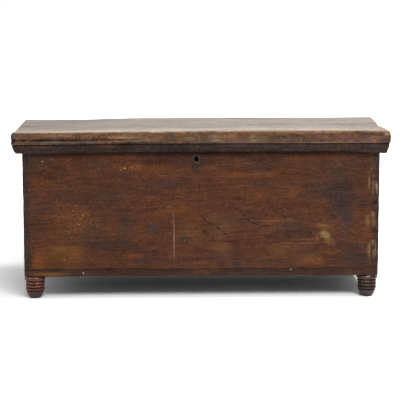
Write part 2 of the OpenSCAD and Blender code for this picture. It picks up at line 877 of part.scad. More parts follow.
// Bowed leaf spring that presses on the bolt from above
module lock_spring() {
    foot_z = bolt_z + bolt_h / 2 + lock_fit;
    bow = lock_case_top - lock_wall - foot_z - spring_t - glue_gap;
    radius = (pow(spring_l / 2, 2) + pow(bow, 2)) / (2 * bow);
    color("#7a746c") along_y(bolt_y - bolt_t / 2, bolt_y + bolt_t / 2)
        translate([bolt_tip - bolt_l * 5 / 8, foot_z + radius]) intersection() {
            difference() {
                circle(r = radius, $fn = 128);
                circle(r = radius - spring_t, $fn = 128);
            }
            translate([-spring_l / 2, -radius]) square([spring_l, bow + spring_t]);
        }
}

// Pin from a given depth behind the plate out through the case, riveted there
module rivet(start, dia) {
    out = lock_case_d + lock_wall + glue_gap;
    translate([0, 0, start]) cylinder(h = out - start, d = dia);
    translate([0, 0, out]) cylinder(h = rivet_t, d = dia + 2 * rivet_t);
}

module lock_key_pin() {
    color("#5a534c") pin_place(key_x, key_z) rivet(0, key_pin_d);
}

module lock_stump() {
    color("#5a534c") pin_place(stump_x, bolt_z) rivet(lock_case_d / 2 - bolt_t, stump_d);
}

// Link plate under the lid, over the lock
module link_plate() {
    color("#4a423c") difference() {
        block(
            [staple_x - link_w / 2, bolt_y - link_d / 2, lid_z - link_t],
            [staple_x + link_w / 2, bolt_y + link_d / 2, lid_z]);
        staple_shape(glue_gap);
        at_link_screws() screw_hole(lock_screw_l);
    }
}

module staple_shape(grow) {
    block(
        [staple_x - staple_t / 2 - grow, bolt_y - staple_w / 2 - grow, staple_end],
        [staple_x + staple_t / 2 + grow, bolt_y + staple_w / 2 + grow, lid_z]);
}

// Staple with the eye that takes the bolt
module link_staple() {
    color("#4a423c") difference() {
        staple_shape(0);
        block(
            [staple_x - staple_t, bolt_y - eye_w / 2, bolt_z - eye_h / 2],
            [staple_x + staple_t, bolt_y + eye_w / 2, bolt_z + eye_h / 2]);
    }
}

module at_link_screws() {
    for (s = [left, right])
        translate([staple_x + s * link_w * 0.35, bolt_y, lid_z - link_t]) children();
}

module steel_screws(len) {
    color("#575049") screw(len);
}

module iron_nails(len) {
    color("#2f2a27") nail(len);
}

front_board();
back_board();
color("#5f3b24") tail_board(left);  // left_end_board
color("#5f3b24") tail_board(right);  // right_end_board
bottom_board(case_front, bottom_joint - glue_gap);  // bottom_board_front
bottom_board(bottom_joint, case_back);  // bottom_board_rear
at_bottom_nails() iron_nails(bottom_nail_l);  // bottom_nails
foot(left, "front");  // foot_front_left
foot(right, "front");  // foot_front_right
foot(left, "rear");  // foot_rear_left
foot(right, "rear");  // foot_rear_right
till_side();
till_bottom();
escutcheon();
lock_plate();
lock_case();
lock_bolt();
lock_spring();
lock_key_pin();
lock_stump();
at_lock_screws() steel_screws(lock_screw_l);  // lock_screws
hinge_leaf(left);  // hinge_leaf_left
hinge_leaf(right);  // hinge_leaf_right
hinge_pin(left);  // hinge_pin_left
hinge_pin(right);  // hinge_pin_right
at_leaf_screws() steel_screws(hinge_screw_l);  // hinge_leaf_screws
hinge_strap(left);  // hinge_strap_left
hinge_strap(right);  // hinge_strap_right
for (side = [left, right]) at_strap_screws(side) steel_screws(hinge_screw_l);  // hinge_strap_screws
lid_board(lid_front, lid_joint - glue_gap);  // lid_board_front
lid_board(lid_joint, lid_back);  // lid_board_rear
lid_moulding_front();
lid_moulding_end(left);  // lid_moulding_left
lid_moulding_end(right);  // lid_moulding_right
at_moulding_nails() iron_nails(moulding_nail_l);  // moulding_nails
batten(left);  // batten_left
batten(right);  // batten_right
at_batten_screws() steel_screws(batten_screw_l);  // batten_screws
link_plate();
link_staple();
at_link_screws() steel_screws(lock_screw_l);  // link_screws
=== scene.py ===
# %% [markdown]
# # A dovetailed blanket chest in old pine
#
# This lesson dresses a chest that already has its exact solids. Case, lid, hinges and lock come in as
# one model whose bodies already know how they move. What is missing is everything that makes it old
# wood: the run of the rings round the knots, wax, rubbed corners, dirt in the joints, a worn keyhole.
# Each step below makes one of these. The pieces are measured in millimetres, while the camera, the floor
# and the lamps stand in metres.

# %% Load the solids and keep their boxes
import math
import bpy
import numpy as np
from mathutils import Matrix, Vector


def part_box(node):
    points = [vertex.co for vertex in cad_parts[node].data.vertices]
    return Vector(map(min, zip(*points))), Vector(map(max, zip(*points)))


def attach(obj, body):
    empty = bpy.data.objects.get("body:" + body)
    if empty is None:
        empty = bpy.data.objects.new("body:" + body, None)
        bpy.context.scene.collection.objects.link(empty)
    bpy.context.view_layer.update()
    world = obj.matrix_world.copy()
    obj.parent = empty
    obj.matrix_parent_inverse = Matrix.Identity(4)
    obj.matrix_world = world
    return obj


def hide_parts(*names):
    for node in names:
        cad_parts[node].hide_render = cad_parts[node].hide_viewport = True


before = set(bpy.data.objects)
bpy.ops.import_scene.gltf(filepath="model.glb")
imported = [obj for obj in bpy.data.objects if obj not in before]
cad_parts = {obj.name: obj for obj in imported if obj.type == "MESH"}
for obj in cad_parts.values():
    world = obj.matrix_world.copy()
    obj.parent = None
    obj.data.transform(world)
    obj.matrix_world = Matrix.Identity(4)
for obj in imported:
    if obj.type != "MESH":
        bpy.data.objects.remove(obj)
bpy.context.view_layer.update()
MM = 0.001
BOX = {name: (np.array(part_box(name)) / MM).round(2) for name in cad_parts}
CASE = np.array([BOX["front_board"][0], BOX["back_board"][1]])
LID = np.array([BOX["lid_board_front"][0], BOX["lid_board_rear"][1]])
JOINT_Y = BOX["lid_board_front"][1][1]
print("case from", CASE[0].round(1), "to", CASE[1].round(1))
print("lid from", LID[0].round(1), "to", LID[1].round(1))

# %% [markdown]
# ## The camera
#
# A picture of furniture is best taken from far off with a long lens, so that its upright lines stay
# upright. This one stands four and a half metres away, a little left of the middle and about twice as
# high as the lid, and it tilts down by nine degrees. Place and turn go into one matrix: first the turn
# about the lens, then the tilt, then the swing to the side.

# %% Camera
lens = bpy.data.cameras.new("long_lens")
lens.lens, lens.sensor_width = 124.3, 36.0
camera = bpy.data.objects.new("camera", lens)
bpy.context.scene.collection.objects.link(camera)
camera.matrix_world = (
    Matrix.Translation((-0.099, -4.471, 0.9885))
    @ Matrix.Rotation(math.radians(-1.26), 4, "Z")
    @ Matrix.Rotation(math.radians(90 - 8.92), 4, "X")
    @ Matrix.Rotation(math.radians(-0.07), 4, "Z"))
bpy.context.scene.camera = camera
print("camera at", tuple(round(v, 3) for v in camera.matrix_world.translation))

# %% [markdown]
# ## Colours and nodes
#
# Colours are written as people pick them, as hex values for the screen. Shaders calculate with light, so
# one function turns each hex value to linear numbers. A second function adds a shader node, fills its
# inputs with numbers or with links, in order or by name, and hands back one of its outputs. With these
# two, a material reads from top to bottom like a recipe.

# %% Colour and node helpers
def linear(hex_colour):
    """Linear RGBA of an sRGB hex colour: a channel c over 0.04045 is ((c + 0.055) / 1.055) ** 2.4."""
    c = np.array([int(hex_colour[i:i + 2], 16) for i in (1, 3, 5)]) / 255
    c = np.where(c > 0.04045, ((c + 0.055) / 1.055) ** 2.4, c / 12.92)
    return (*(float(v) for v in c), 1.0)


def add(tree, kind, inputs=(), out=0, **settings):
    """Adds one shader node. An input that is a socket is linked, and any other is the input's value."""
    node = tree.nodes.new("ShaderNode" + kind)
    for key, value in settings.items():
        setattr(node, key, value)
    for key, value in inputs.items() if isinstance(inputs, dict) else enumerate(inputs):
        if isinstance(value, bpy.types.NodeSocket):
            tree.links.new(value, node.inputs[key])
        else:
            node.inputs[key].default_value = value
    return node if out is None else node.outputs[out]


def start(name):
    """A new material with an empty node tree, and its object coordinates in millimetres."""
    material = bpy.data.materials.new(name)
    material.use_nodes = True
    tree = material.node_tree
    tree.nodes.clear()
    at = add(tree, "TexCoord", out=3)
    place = add(tree, "VectorMath", {0: at, "Scale": 1 / MM}, operation="SCALE")
    return material, tree, place


def surface(tree, colour, roughness, bump, bump_mm, **others):
    """Joins colour, roughness and relief in the main shader. Others are its inputs, by name."""
    relief = add(tree, "Bump", {"Height": bump, "Distance": bump_mm * MM, "Strength": 1.0})
    inputs = {"Base Color": colour, "Roughness": roughness, "Normal": relief}
    inputs.update({key.replace("_", " "): value for key, value in others.items()})
    shader = add(tree, "BsdfPrincipled", inputs)
    add(tree, "OutputMaterial", [shader], out=None)


print("old pine brown", [round(v, 4) for v in linear("#5b3a24")])

# %% [markdown]
# ## Floor, backdrop and light
# The lid's top also has part of that pale reflection painted into its colour.
#
# The chest stands on a plain pale floor in a white studio. A white that comes from more light would
# bleach the wood, so the floor is only lighter where the camera looks straight at it. Lamps and bounced
# light still meet a pale grey floor, and the shadow under the chest stays. The world does the same: the
# camera sees white, and the wood is lit by a dimmer sky that is brightest overhead and weak behind the
# chest. Polished things mirror a backdrop that is bright behind the chest and dim on the camera's side,
# which is why the lid looks pale from low down while the front stays deep brown.
#
# Three soft lamps do the rest: a large one high in front, a small one high over the right end, and a weak
# one at the left that draws the edges there.

# %% Studio
scene = bpy.context.scene
scene.view_settings.view_transform = "Standard"


def panel(name, x0, x1, y0, y1, material):
    """A flat rectangle at floor level that is part of the stage."""
    mesh = bpy.data.meshes.new(name)
    mesh.from_pydata([(x0, y0, 0), (x1, y0, 0), (x1, y1, 0), (x0, y1, 0)], [], [(0, 1, 2, 3)])
    mesh.materials.append(material)
    thing = bpy.data.objects.new(name, mesh)
    scene.collection.objects.link(thing)


# matt paper, rolled out: no gloss at all, so the eye rests on the wood
paper, tree, place = start("rolled_matt_paper")
seen = add(tree, "LightPath", out=0)
away = add(tree, "VectorMath", [place], out="Value", operation="LENGTH")
# the whiteness that the camera sees grows with the distance, as the lamps' light falls off
white = add(tree, "MapRange", [away, 700, 4000, 1.55, 6.0])
grey = add(tree, "Mix", {0: seen, 6: linear("#d2d4d6"), 7: white}, out=2, data_type="RGBA")
add(tree, "OutputMaterial", [add(tree, "BsdfDiffuse", [grey])], out=None)
panel("floor", -9, 9, -9, 9, paper)

world = bpy.data.worlds.new("studio")
scene.world = world
world.use_nodes = True
tree = world.node_tree
tree.nodes.clear()
direction = add(tree, "SeparateXYZ", [add(tree, "TexCoord", out=0)], out=None)
backwards, upwards = direction.outputs[1], direction.outputs[2]
backdrop = add(tree, "MapRange", [backwards, -0.35, 0.5, 0.10, 0.95], interpolation_type="SMOOTHSTEP")
sky = add(tree, "MapRange", [upwards, 0.0, 0.8, 0.28, 0.50])
behind = add(tree, "MapRange", [backwards, 0.0, 0.6, 1.0, 0.30])
sky = add(tree, "Math", [sky, behind], operation="MULTIPLY")
path = add(tree, "LightPath", out=None)
mirrored = [path.outputs["Is Glossy Ray"], path.outputs["Is Transmission Ray"]]
mirrored = add(tree, "Math", mirrored, operation="MAXIMUM")
level = add(tree, "Mix", {0: mirrored, 2: sky, 3: backdrop})
level = add(tree, "Mix", {0: path.outputs["Is Camera Ray"], 2: level, 3: 1.0})
add(tree, "OutputWorld", [add(tree, "Background", [(1, 1, 1, 1), level])], out=None)


def softbox(name, place, aim, size, watts):
    """A rectangular soft lamp at a place, turned towards the point it aims at."""
    lamp = bpy.data.lights.new(name, "AREA")
    lamp.shape, lamp.size, lamp.size_y, lamp.energy = "RECTANGLE", size[0], size[1], watts
    thing = bpy.data.objects.new(name, lamp)
    scene.collection.objects.link(thing)
    turn = (Vector(place) - Vector(aim)).to_track_quat("Z", "Y")
    thing.matrix_world = Matrix.Translation(place) @ turn.to_matrix().to_4x4()


softbox("key", (0.55, -2.6, 2.55), (0, 0, 0.25), (2.2, 1.25), 66)
softbox("side", (1.6, -0.35, 2.8), (0, 0, 0.1), (0.6, 0.5), 38)
softbox("edge", (-3.4, -1.3, 1.3), (0, 0, 0.2), (0.5, 1.4), 10)

# %% [markdown]
# ## Old pine
#
# A pine board is a cut through a trunk, so its pattern is best made in the solid: every point asks how
# far it lies from the heart of the tree, and rings of that distance give long flames on the face and
# arcs on the end grain, from one rule. Each ring is pale in spring and darkens towards its end. A knot
# is a branch that pushes the rings aside, so it adds a smooth hump to the distance round its place.
#
# Age comes on top: brown stain and wax, and marks. A mark is a soft ellipsoid with a ragged edge, given
# by its place and half sizes, and turned about Y where it has a slope. So one rule draws a stain, a bare
# patch, a crack in the grain or a whole side of the board that never saw polish, and a few painted shadows
# and highlights too. The grain is multiplied in over the marks, because a stain darkens wood but doesn't
# hide its streaks. Wear lets raw wood show where the mesh says that the piece is rubbed, and the mesh's
# grime and painted shade make it dark and take the shine away.

# %% The material of a pine board
KNOT_HEART = "#2a1710"
# the dark that the mesh's dirt and its painted shade lay over the wood
DIRT_AND_SHADE_TINT = "#1c120d"


def pine(name, grain, heart, ring_mm, spring, summer, dull, warm, knots=(), swirls=(), marks=(), specks=(),
         bare=(), worn="#8a6440", contrast=0.8, grit=0.6, patch=0.16, lines=0.22, tone=0.1, shine=0.46,
         gloss=0.2):
    """Rings: the remainder of (distance from the heart / ring width), to a power, darkens the spring wood.
    Patina: slow noises mix in a dull and a warm colour. Grain: streaks, grit, patches and slow bands of
    tone each multiply the colour by 1 less or more their share. Specks: the peaks of a fine noise, within
    an ellipsoid. Bare: what lies past a plane and was never stained."""
    material, tree, place = start(name)
    axes = add(tree, "SeparateXYZ", [place], out=None)
    order = {"X": (0, 2, 1), "Y": (1, 2, 0), "Z": (2, 0, 1)}[grain]
    board = add(tree, "CombineXYZ", [axes.outputs[a] for a in order])

    def figure(sizes, detail, rough=0.5, out=0):
        """Cloudy figure whose blots are about the given sizes, along, across and into the board."""
        scaled = add(tree, "VectorMath", [board, tuple(1 / s for s in sizes)], operation="MULTIPLY")
        looks = {"Vector": scaled, "Scale": 1.0, "Detail": detail, "Roughness": rough}
        return add(tree, "TexNoise", looks, out=out)

    def swing(pattern, half, much):
        """A factor from 1 - much to 1 + much, as a pattern runs from half below 0.5 to half above it."""
        return add(tree, "MapRange", [pattern, 0.5 - half, 0.5 + half, 1 - much, 1 + much])

    def stain(share, colour, tint):
        """The colour, with a share of the tint laid over it."""
        return add(tree, "Mix", {0: share, 6: colour, 7: linear(tint)}, out=2, data_type="RGBA")

    def reach_from(at, size, turn=0.0):
        """Distance from a place in half sizes: 1 on an ellipsoid, which may be turned about Y."""
        if turn:
            part = add(tree, "Mapping", [place, at, (0, turn, 0), size], vector_type="TEXTURE")
        else:
            scale, shift = tuple(1 / s for s in size), tuple(-a / s for a, s in zip(at, size))
            part = add(tree, "VectorMath", [place, scale, shift], operation="MULTIPLY_ADD")
        return add(tree, "VectorMath", [part], out="Value", operation="LENGTH")

    # the heart is not straight: three noises, from slow to quick, bend the distance from it
    away = add(tree, "VectorMath", [board, (0, -heart[0], -heart[1])], operation="ADD")
    for sizes, much in (((620, 260, 260), (120, 90)), ((110, 42, 42), (8, 8)), ((26, 12, 12), (1.8, 1.8))):
        bend = [figure(sizes, 1.5, out=1), (0, *much), (0, -much[0] / 2, -much[1] / 2)]
        bend = add(tree, "VectorMath", bend, operation="MULTIPLY_ADD")
        away = add(tree, "VectorMath", [away, bend])
    away = add(tree, "VectorMath", [away, (0, 1, 1)], operation="MULTIPLY")
    radius = add(tree, "VectorMath", [away], out="Value", operation="LENGTH")

    # a knot is a hump, push * exp(-reach^2), with a dark core, and a swirl is a hump alone
    core = 0.0
    humps = [(along, across, 4 * size, 2.5 * size, 2.6 * size, 1) for along, across, size in knots]
    for along, across, length, height, push, dark in humps + [(*swirl, 0) for swirl in swirls]:
        flat = [board, (1 / length, 1 / height, 0), (-along / length, -across / height, 0)]
        flat = add(tree, "VectorMath", flat, operation="MULTIPLY_ADD")
        reach = add(tree, "VectorMath", [flat], out="Value", operation="LENGTH")
        hump = add(tree, "Math", [reach, reach], operation="MULTIPLY")
        hump = add(tree, "Math", [hump, -1.0], operation="MULTIPLY")
        hump = add(tree, "Math", [hump], operation="EXPONENT")
        radius = add(tree, "Math", [hump, push, radius], operation="MULTIPLY_ADD")
        dark_core = add(tree, "MapRange", [reach, 0.36, 0.2, 0, dark])
        core = add(tree, "Math", [dark_core, core], operation="MAXIMUM")

    # late wood: pale to dark within a ring, stronger in some years and in some parts of the board
    ring = add(tree, "Math", [radius, ring_mm], operation="DIVIDE")
    year = add(tree, "Math", [ring], operation="FLOOR")
    year = add(tree, "TexWhiteNoise", {"W": year}, noise_dimensions="1D")
    late = add(tree, "Math", [add(tree, "Math", [ring], operation="FRACT"), 3.2], operation="POWER")
    year = add(tree, "MapRange", [year, 0, 1, 0.35, 1])
    part = add(tree, "MapRange", [figure((170, 60, 60), 3.0), 0.38, 0.55, 0.3, 1])
    strength = add(tree, "Math", [year, part], operation="MULTIPLY")
    late = add(tree, "Math", [late, strength], operation="MULTIPLY")

    # real pores are a third of a millimetre wide; the finest streaks are drawn at 2.6 mm so that they show
    fibre = figure((44, 2.6, 2.6), 3.0, 0.65)
    streak = figure((95, 6, 6), 4.0, 0.62)
    mottle = figure((5, 4, 4), 3.0, 0.7)
    blots = figure((40, 22, 22), 6.0, 0.68)
    clouds = figure((19, 14, 14), 3.0, 0.6)
    bands = figure((210, 42, 42), 4.0, 0.62)
    shade = swing(streak, 0.25, lines)
    for pattern, half, much in ((mottle, 0.25, grit), (fibre, 0.25, 0.28), (clouds, 0.2, patch),
                                (blots, 0.2, patch), (bands, 0.15, tone)):
        shade = add(tree, "Math", [shade, swing(pattern, half, much)], operation="MULTIPLY")

    colour = stain(add(tree, "Math", [late, contrast], operation="MULTIPLY"), linear(spring), summer)
    grey_share = add(tree, "MapRange", [figure((230, 95, 95), 6.0, 0.62), 0.50, 0.64, 0, 0.85])
    warm_share = add(tree, "MapRange", [figure((150, 60, 60), 6.0, 0.66), 0.54, 0.68, 0, 0.8])
    colour = stain(warm_share, stain(grey_share, colour, dull), warm)
    colour = stain(core, colour, KNOT_HEART)

    ragged = add(tree, "Math", [add(tree, "Math", [blots, mottle]), 1.0], operation="SUBTRACT")
    for at, size, tint, much, rag, *turn in marks:
        reach = add(tree, "Math", [ragged, rag, reach_from(at, size, *turn)], operation="MULTIPLY_ADD")
        cover = add(tree, "MapRange", [reach, 1.0, 0.3, 0.0, much], interpolation_type="SMOOTHSTEP")
        colour = stain(cover, colour, tint)
    colour = add(tree, "VectorMath", {0: colour, "Scale": shade}, operation="SCALE")

    fleck = add(tree, "MapRange", [figure((4.6, 3, 3), 2.0, 0.6), 0.59, 0.69])
    for at, size, tint, much in specks:
        within = add(tree, "MapRange", [reach_from(at, size), 1.0, 0.4, 0, much])
        colour = stain(add(tree, "Math", [within, fleck], operation="MULTIPLY"), colour, tint)

    rubbed = add(tree, "Attribute", out=2, attribute_name="wear")
    rubbed = add(tree, "Math", [ragged, 1.5, rubbed], operation="MULTIPLY_ADD")
    colour = stain(add(tree, "MapRange", [rubbed, 0.5, 1.0, 0, 0.7]), colour, worn)
    rings = add(tree, "MapRange", [late, 0, 1, 1.05, 0.6])
    rings = add(tree, "Math", [shade, rings], operation="MULTIPLY")
    for axis, sign, plane, tint in bare:
        past = add(tree, "Math", [axes.outputs[axis], sign, -sign * plane], operation="MULTIPLY_ADD")
        past = add(tree, "MapRange", [past, 0, 1, 0, 0.95])
        raw = add(tree, "VectorMath", {0: linear(tint)[:3], "Scale": rings}, operation="SCALE")
        colour = add(tree, "Mix", {0: past, 6: colour, 7: raw}, out=2, data_type="RGBA")
    dirt = add(tree, "Attribute", out=2, attribute_name="grime")
    # the mesh's grime and painted shade darken the wood here: dirt in the joints, and a painted shadow under
    # the lid's edge and along the moulding's top
    colour = stain(dirt, colour, DIRT_AND_SHADE_TINT)

    rough = add(tree, "Math", [streak, blots])
    rough = add(tree, "Math", [rough, 0.16, shine - 0.16], operation="MULTIPLY_ADD")
    bump = add(tree, "Math", [fibre, 0.5, mottle], operation="MULTIPLY_ADD")
    bump = add(tree, "Math", [late, -0.35, bump], operation="MULTIPLY_ADD")
    polish = add(tree, "MapRange", [dirt, 0.1, 0.7, gloss, 0.02])
    polish = add(tree, "Math", [polish, swing(bands, 0.15, 1.6 * tone)], operation="MULTIPLY")
    surface(tree, colour, rough, bump, 0.5, IOR=1.45, Specular_IOR_Level=polish)
    return material


print("pine rule ready")

# %% [markdown]
# ## Boards with worn edges
#
# Each board is cut from a block of cells between three sets of planes. Cells are taken out where a
# socket, a slot or a notch goes, and the skin is every cell wall with wood on one side only. It closes by
# itself, and it is all quads. Then the skin is worn like wood: planes lie close together near the edges,
# and points there are drawn onto a rounding whose radius wanders, so an edge is sharp here and thumbed
# soft there. The faces get the slow waves that a hand plane leaves. Bevels on a plain box would give
# every edge the same machine radius.

# %% Cells and skins
BESIDE_EDGE = np.array([0.6, 1.4, 2.6, 4.2, 6.5, 10])


def planes(low, high, step, stops=()):
    """Plane positions: both ends, close ones beside them, the stops, and even steps between these."""
    near = BESIDE_EDGE[BESIDE_EDGE < (high - low) / 2.2]
    fixed = np.concatenate([[low, high], low + near, high - near, np.asarray(stops, float)])
    fixed = np.unique(fixed.round(3))
    fixed = fixed[(fixed >= low) & (fixed <= high)]
    counts = [max(1, math.ceil((b - a) / step)) + 1 for a, b in zip(fixed[:-1], fixed[1:])]
    runs = [np.linspace(a, b, n) for a, b, n in zip(fixed[:-1], fixed[1:], counts)]
    return np.unique(np.concatenate(runs).round(3))


def skin(xs, ys, zs, keep=None):
    """Walls between kept cells and empty ones, wound so that they face the empty side: (points, quads)."""
    cells = np.zeros((len(xs) + 1, len(ys) + 1, len(zs) + 1), bool)
    middle = np.meshgrid(*[(v[1:] + v[:-1]) / 2 for v in (xs, ys, zs)], indexing="ij")
    cells[1:-1, 1:-1, 1:-1] = True if keep is None else keep(*middle)
    corner = [(-1, -1), (0, -1), (0, 0), (-1, 0)]
    found = []
    for axis in range(3):
        step = np.diff(np.moveaxis(cells, axis, 0).astype(np.int8), axis=0)
        i, j, k = np.nonzero(step)
        walls = np.stack([np.stack([i, j + a, k + b], 1) for a, b in corner], 1)
        walls = walls[..., [[0, 1, 2], [1, 0, 2], [1, 2, 0]][axis]]
        flip = (step[i, j, k] > 0) != (axis == 1)
        walls[flip] = walls[flip][:, ::-1]
        found.append(walls)
    walls = np.concatenate(found).reshape(-1, 3)
    number = (walls[:, 0] * len(ys) + walls[:, 1]) * len(zs) + walls[:, 2]
    used, quads = np.unique(number, return_inverse=True)
    points = np.stack([xs[used // (len(ys) * len(zs))], ys[used // len(zs) % len(ys)], zs[used % len(zs)]], 1)
    return points, quads.reshape(-1, 4)


print("planes of a 25 mm board:", planes(0, 25, 9))

# %% Wear
WAVES = 24


def drift(points, size, seed):
    """Smooth unevenness of about -2 to 2: the sum of seeded cosine waves in all directions, scaled down."""
    rng = np.random.default_rng(seed)
    way = rng.normal(size=(WAVES, 3))
    way *= 2 * np.pi * rng.uniform(0.5, 1.7, (WAVES, 1)) / np.linalg.norm(way, axis=1, keepdims=True)
    turns = (points / np.asarray(size, float)) @ way.T + rng.uniform(0, 2 * np.pi, WAVES)
    return np.cos(turns).sum(1) / math.sqrt(WAVES / 2)


def soften(points, box, radius):
    """Rounds a box: what reaches past the box shrunk by the radius keeps its largest part as its length."""
    radius = np.broadcast_to(np.asarray(radius, float), len(points))[:, None]
    inner = np.clip(points, box[0] + radius, box[1] - radius)
    past = points - inner
    length = np.linalg.norm(past, axis=1, keepdims=True)
    return inner + past * np.abs(past).max(1, keepdims=True) / np.maximum(length, 1e-9)


def edge_wear(points, box, reach, seed):
    """Rubbing, 1 on the box's edges and fading with the distance from the nearest one, more in places."""
    gaps = np.sort(np.abs(np.stack([points - box[0], box[1] - points])).reshape(2, -1, 3).min(0), axis=1)
    patchy = np.clip(0.75 + 0.3 * drift(points, (90, 60, 50), seed), 0, 1.3)
    return np.exp(-gaps[:, 1] / reach) * patchy * (gaps[:, 0] < 1)


def hollow(points, box, depth, sizes, seed):
    """Hand-planed faces: each of the six faces sinks by up to about twice the depth, in slow waves."""
    moved = points.copy()
    for axis in range(3):
        for side, sign in ((0, 1), (1, -1)):
            weight = np.clip(1 - np.abs(points[:, axis] - box[side][axis]) / 9, 0, 1)
            sink = np.clip(depth * (1 + drift(points, sizes, seed + 2 * axis + side) * 0.6), 0, None)
            moved[:, axis] += sign * weight * sink
    return moved


print("drift at one place:", drift(np.zeros((1, 3)), (50, 50, 50), 1).round(2))

# %% A finished piece
def make(name, points, faces, body, slot, material, sharp=38, nodes=None, **fields):
    """A finished piece from points in millimetres: smooth except at sharp edges, with a number per point
    for each field. It rides on its body and stands for the CAD node of its name, or for the named ones."""
    mesh = bpy.data.meshes.new(name)
    mesh.from_pydata((points * MM).tolist(), [], faces if isinstance(faces, list) else faces.tolist())
    mesh.polygons.foreach_set("use_smooth", np.ones(len(mesh.polygons), bool))
    for field in ("wear", "grime"):
        mesh.attributes.new(field, "FLOAT", "POINT").data.foreach_set(
            "value", np.clip(fields.get(field, np.zeros(len(points))), 0, 1.3).astype(np.float32))
    mesh.update()
    mesh.set_sharp_from_angle(angle=math.radians(sharp))
    mesh.materials.append(material)
    piece = bpy.data.objects.new(name, mesh)
    scene.collection.objects.link(piece)
    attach(piece, body)
    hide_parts(*(nodes or [name.removeprefix("worn_")]))
    print(name, len(mesh.polygons), "faces")
    return piece


print("a piece carries its wear and grime as numbers per point")

# %% [markdown]
# ## Front and back: the pin boards
#
# The corners are through dovetails. The end boards carry the tails, which flare towards their ends, and
# the front and back carry the pins between them, so strips of end grain show down both sides of the
# front. There are three tails at the left corners and four at the right. A socket's two slopes are got by
# sliding the planes of cells up and down by the flare, more and more from the outer face to the inner.
# Dirt sits where a pin meets a tail, and the edges there are drawn in by a hair, so the joint can be read.

# %% Rows of tails
WALL = BOX["front_board"][1][1] - BOX["front_board"][0][1]
FLARE = WALL / 7
INNER_X = CASE[1][0] - WALL


def tail_rows(count, pin, low_half=17, top_half=26):
    """Bottom and top of each tail on the outer face: equal tails, with pins between two half pins."""
    tail = (CASE[1][2] - CASE[0][2] - low_half - top_half - (count - 1) * pin) / count
    low = CASE[0][2] + low_half + np.arange(count) * (tail + pin)
    return np.stack([low, low + tail], 1)


# -1 is the left side of the chest and 1 its right side
ROWS = {-1: tail_rows(3, 27), 1: tail_rows(4, 21)}
EDGES = np.concatenate([r.ravel() for r in ROWS.values()])


def in_tail(side, z):
    """True for heights inside a tail on that side."""
    return ((z[..., None] > ROWS[side][:, 0]) & (z[..., None] < ROWS[side][:, 1])).any(-1)


def slide(points, side, share):
    """Slides heights inwards at each tail's edges by the flare times the share, and by less between them."""
    rows = ROWS[side]
    at = np.concatenate([[CASE[0][2]], rows.ravel(), [CASE[1][2]]])
    by = np.concatenate([[0], np.tile([FLARE, -FLARE], len(rows)), [0]])
    return share * np.interp(points[:, 2], at, by)


def joint_dirt(points, on_face):
    """Dirt, 1 on the line where a tail meets a pin and 0 two millimetres off, on the faces at a corner."""
    near = np.zeros(len(points))
    for side, rows in ROWS.items():
        level = np.abs(points[:, 2, None] - rows.ravel()).min(1)
        root = np.abs(points[:, 0] - side * INNER_X)
        strip = side * points[:, 0] > INNER_X - 2.5
        inside = ((points[:, 2, None] > rows[:, 0] - 2) & (points[:, 2, None] < rows[:, 1] + 2)).any(1)
        line = np.maximum(np.clip(1 - level / 2, 0, 1), inside * np.clip(1 - root / 2, 0, 1))
        near = np.where(strip, line, near)
    return near * on_face


print("tails left", len(ROWS[-1]), "right", len(ROWS[1]), "flare", round(FLARE, 2))

# %% [markdown]
# The front is one wide flat-sawn board, so long flames run along its middle and bend round two knots and
# past others that the saw only grazed. Stained and waxed brown, it has worn orange in places and gone
# grey in others: a bruise below the keyhole, a dark column right of the middle, a pale chip out of a knot
# near the right foot, flecks and a long upright scratch. Each is one mark in a list, with its place as it
# lies on the real board. Two cracks that follow the grain have filled with dirt. They are broken lines,
# and each straight run of one is a thin mark, turned to its slope.

# %% Marks of the front
FRONT_Y = CASE[0][1]
RAW = "#94704a"
# stained and waxed pine: its spring and summer wood, and the dull and warm tones of its patina
WAX = {"spring": "#5c3522", "summer": "#2c1810", "dull": "#432f28", "warm": "#70401f"}


def marks_on(y, deep, rows):
    """Marks on an upright face at y: a row is x, z, half width, half height, tint, share and raggedness,
    and a crack's row ends with its slope."""
    return [((x, y, z), (wide, deep, high), *rest) for x, z, wide, high, *rest in rows]


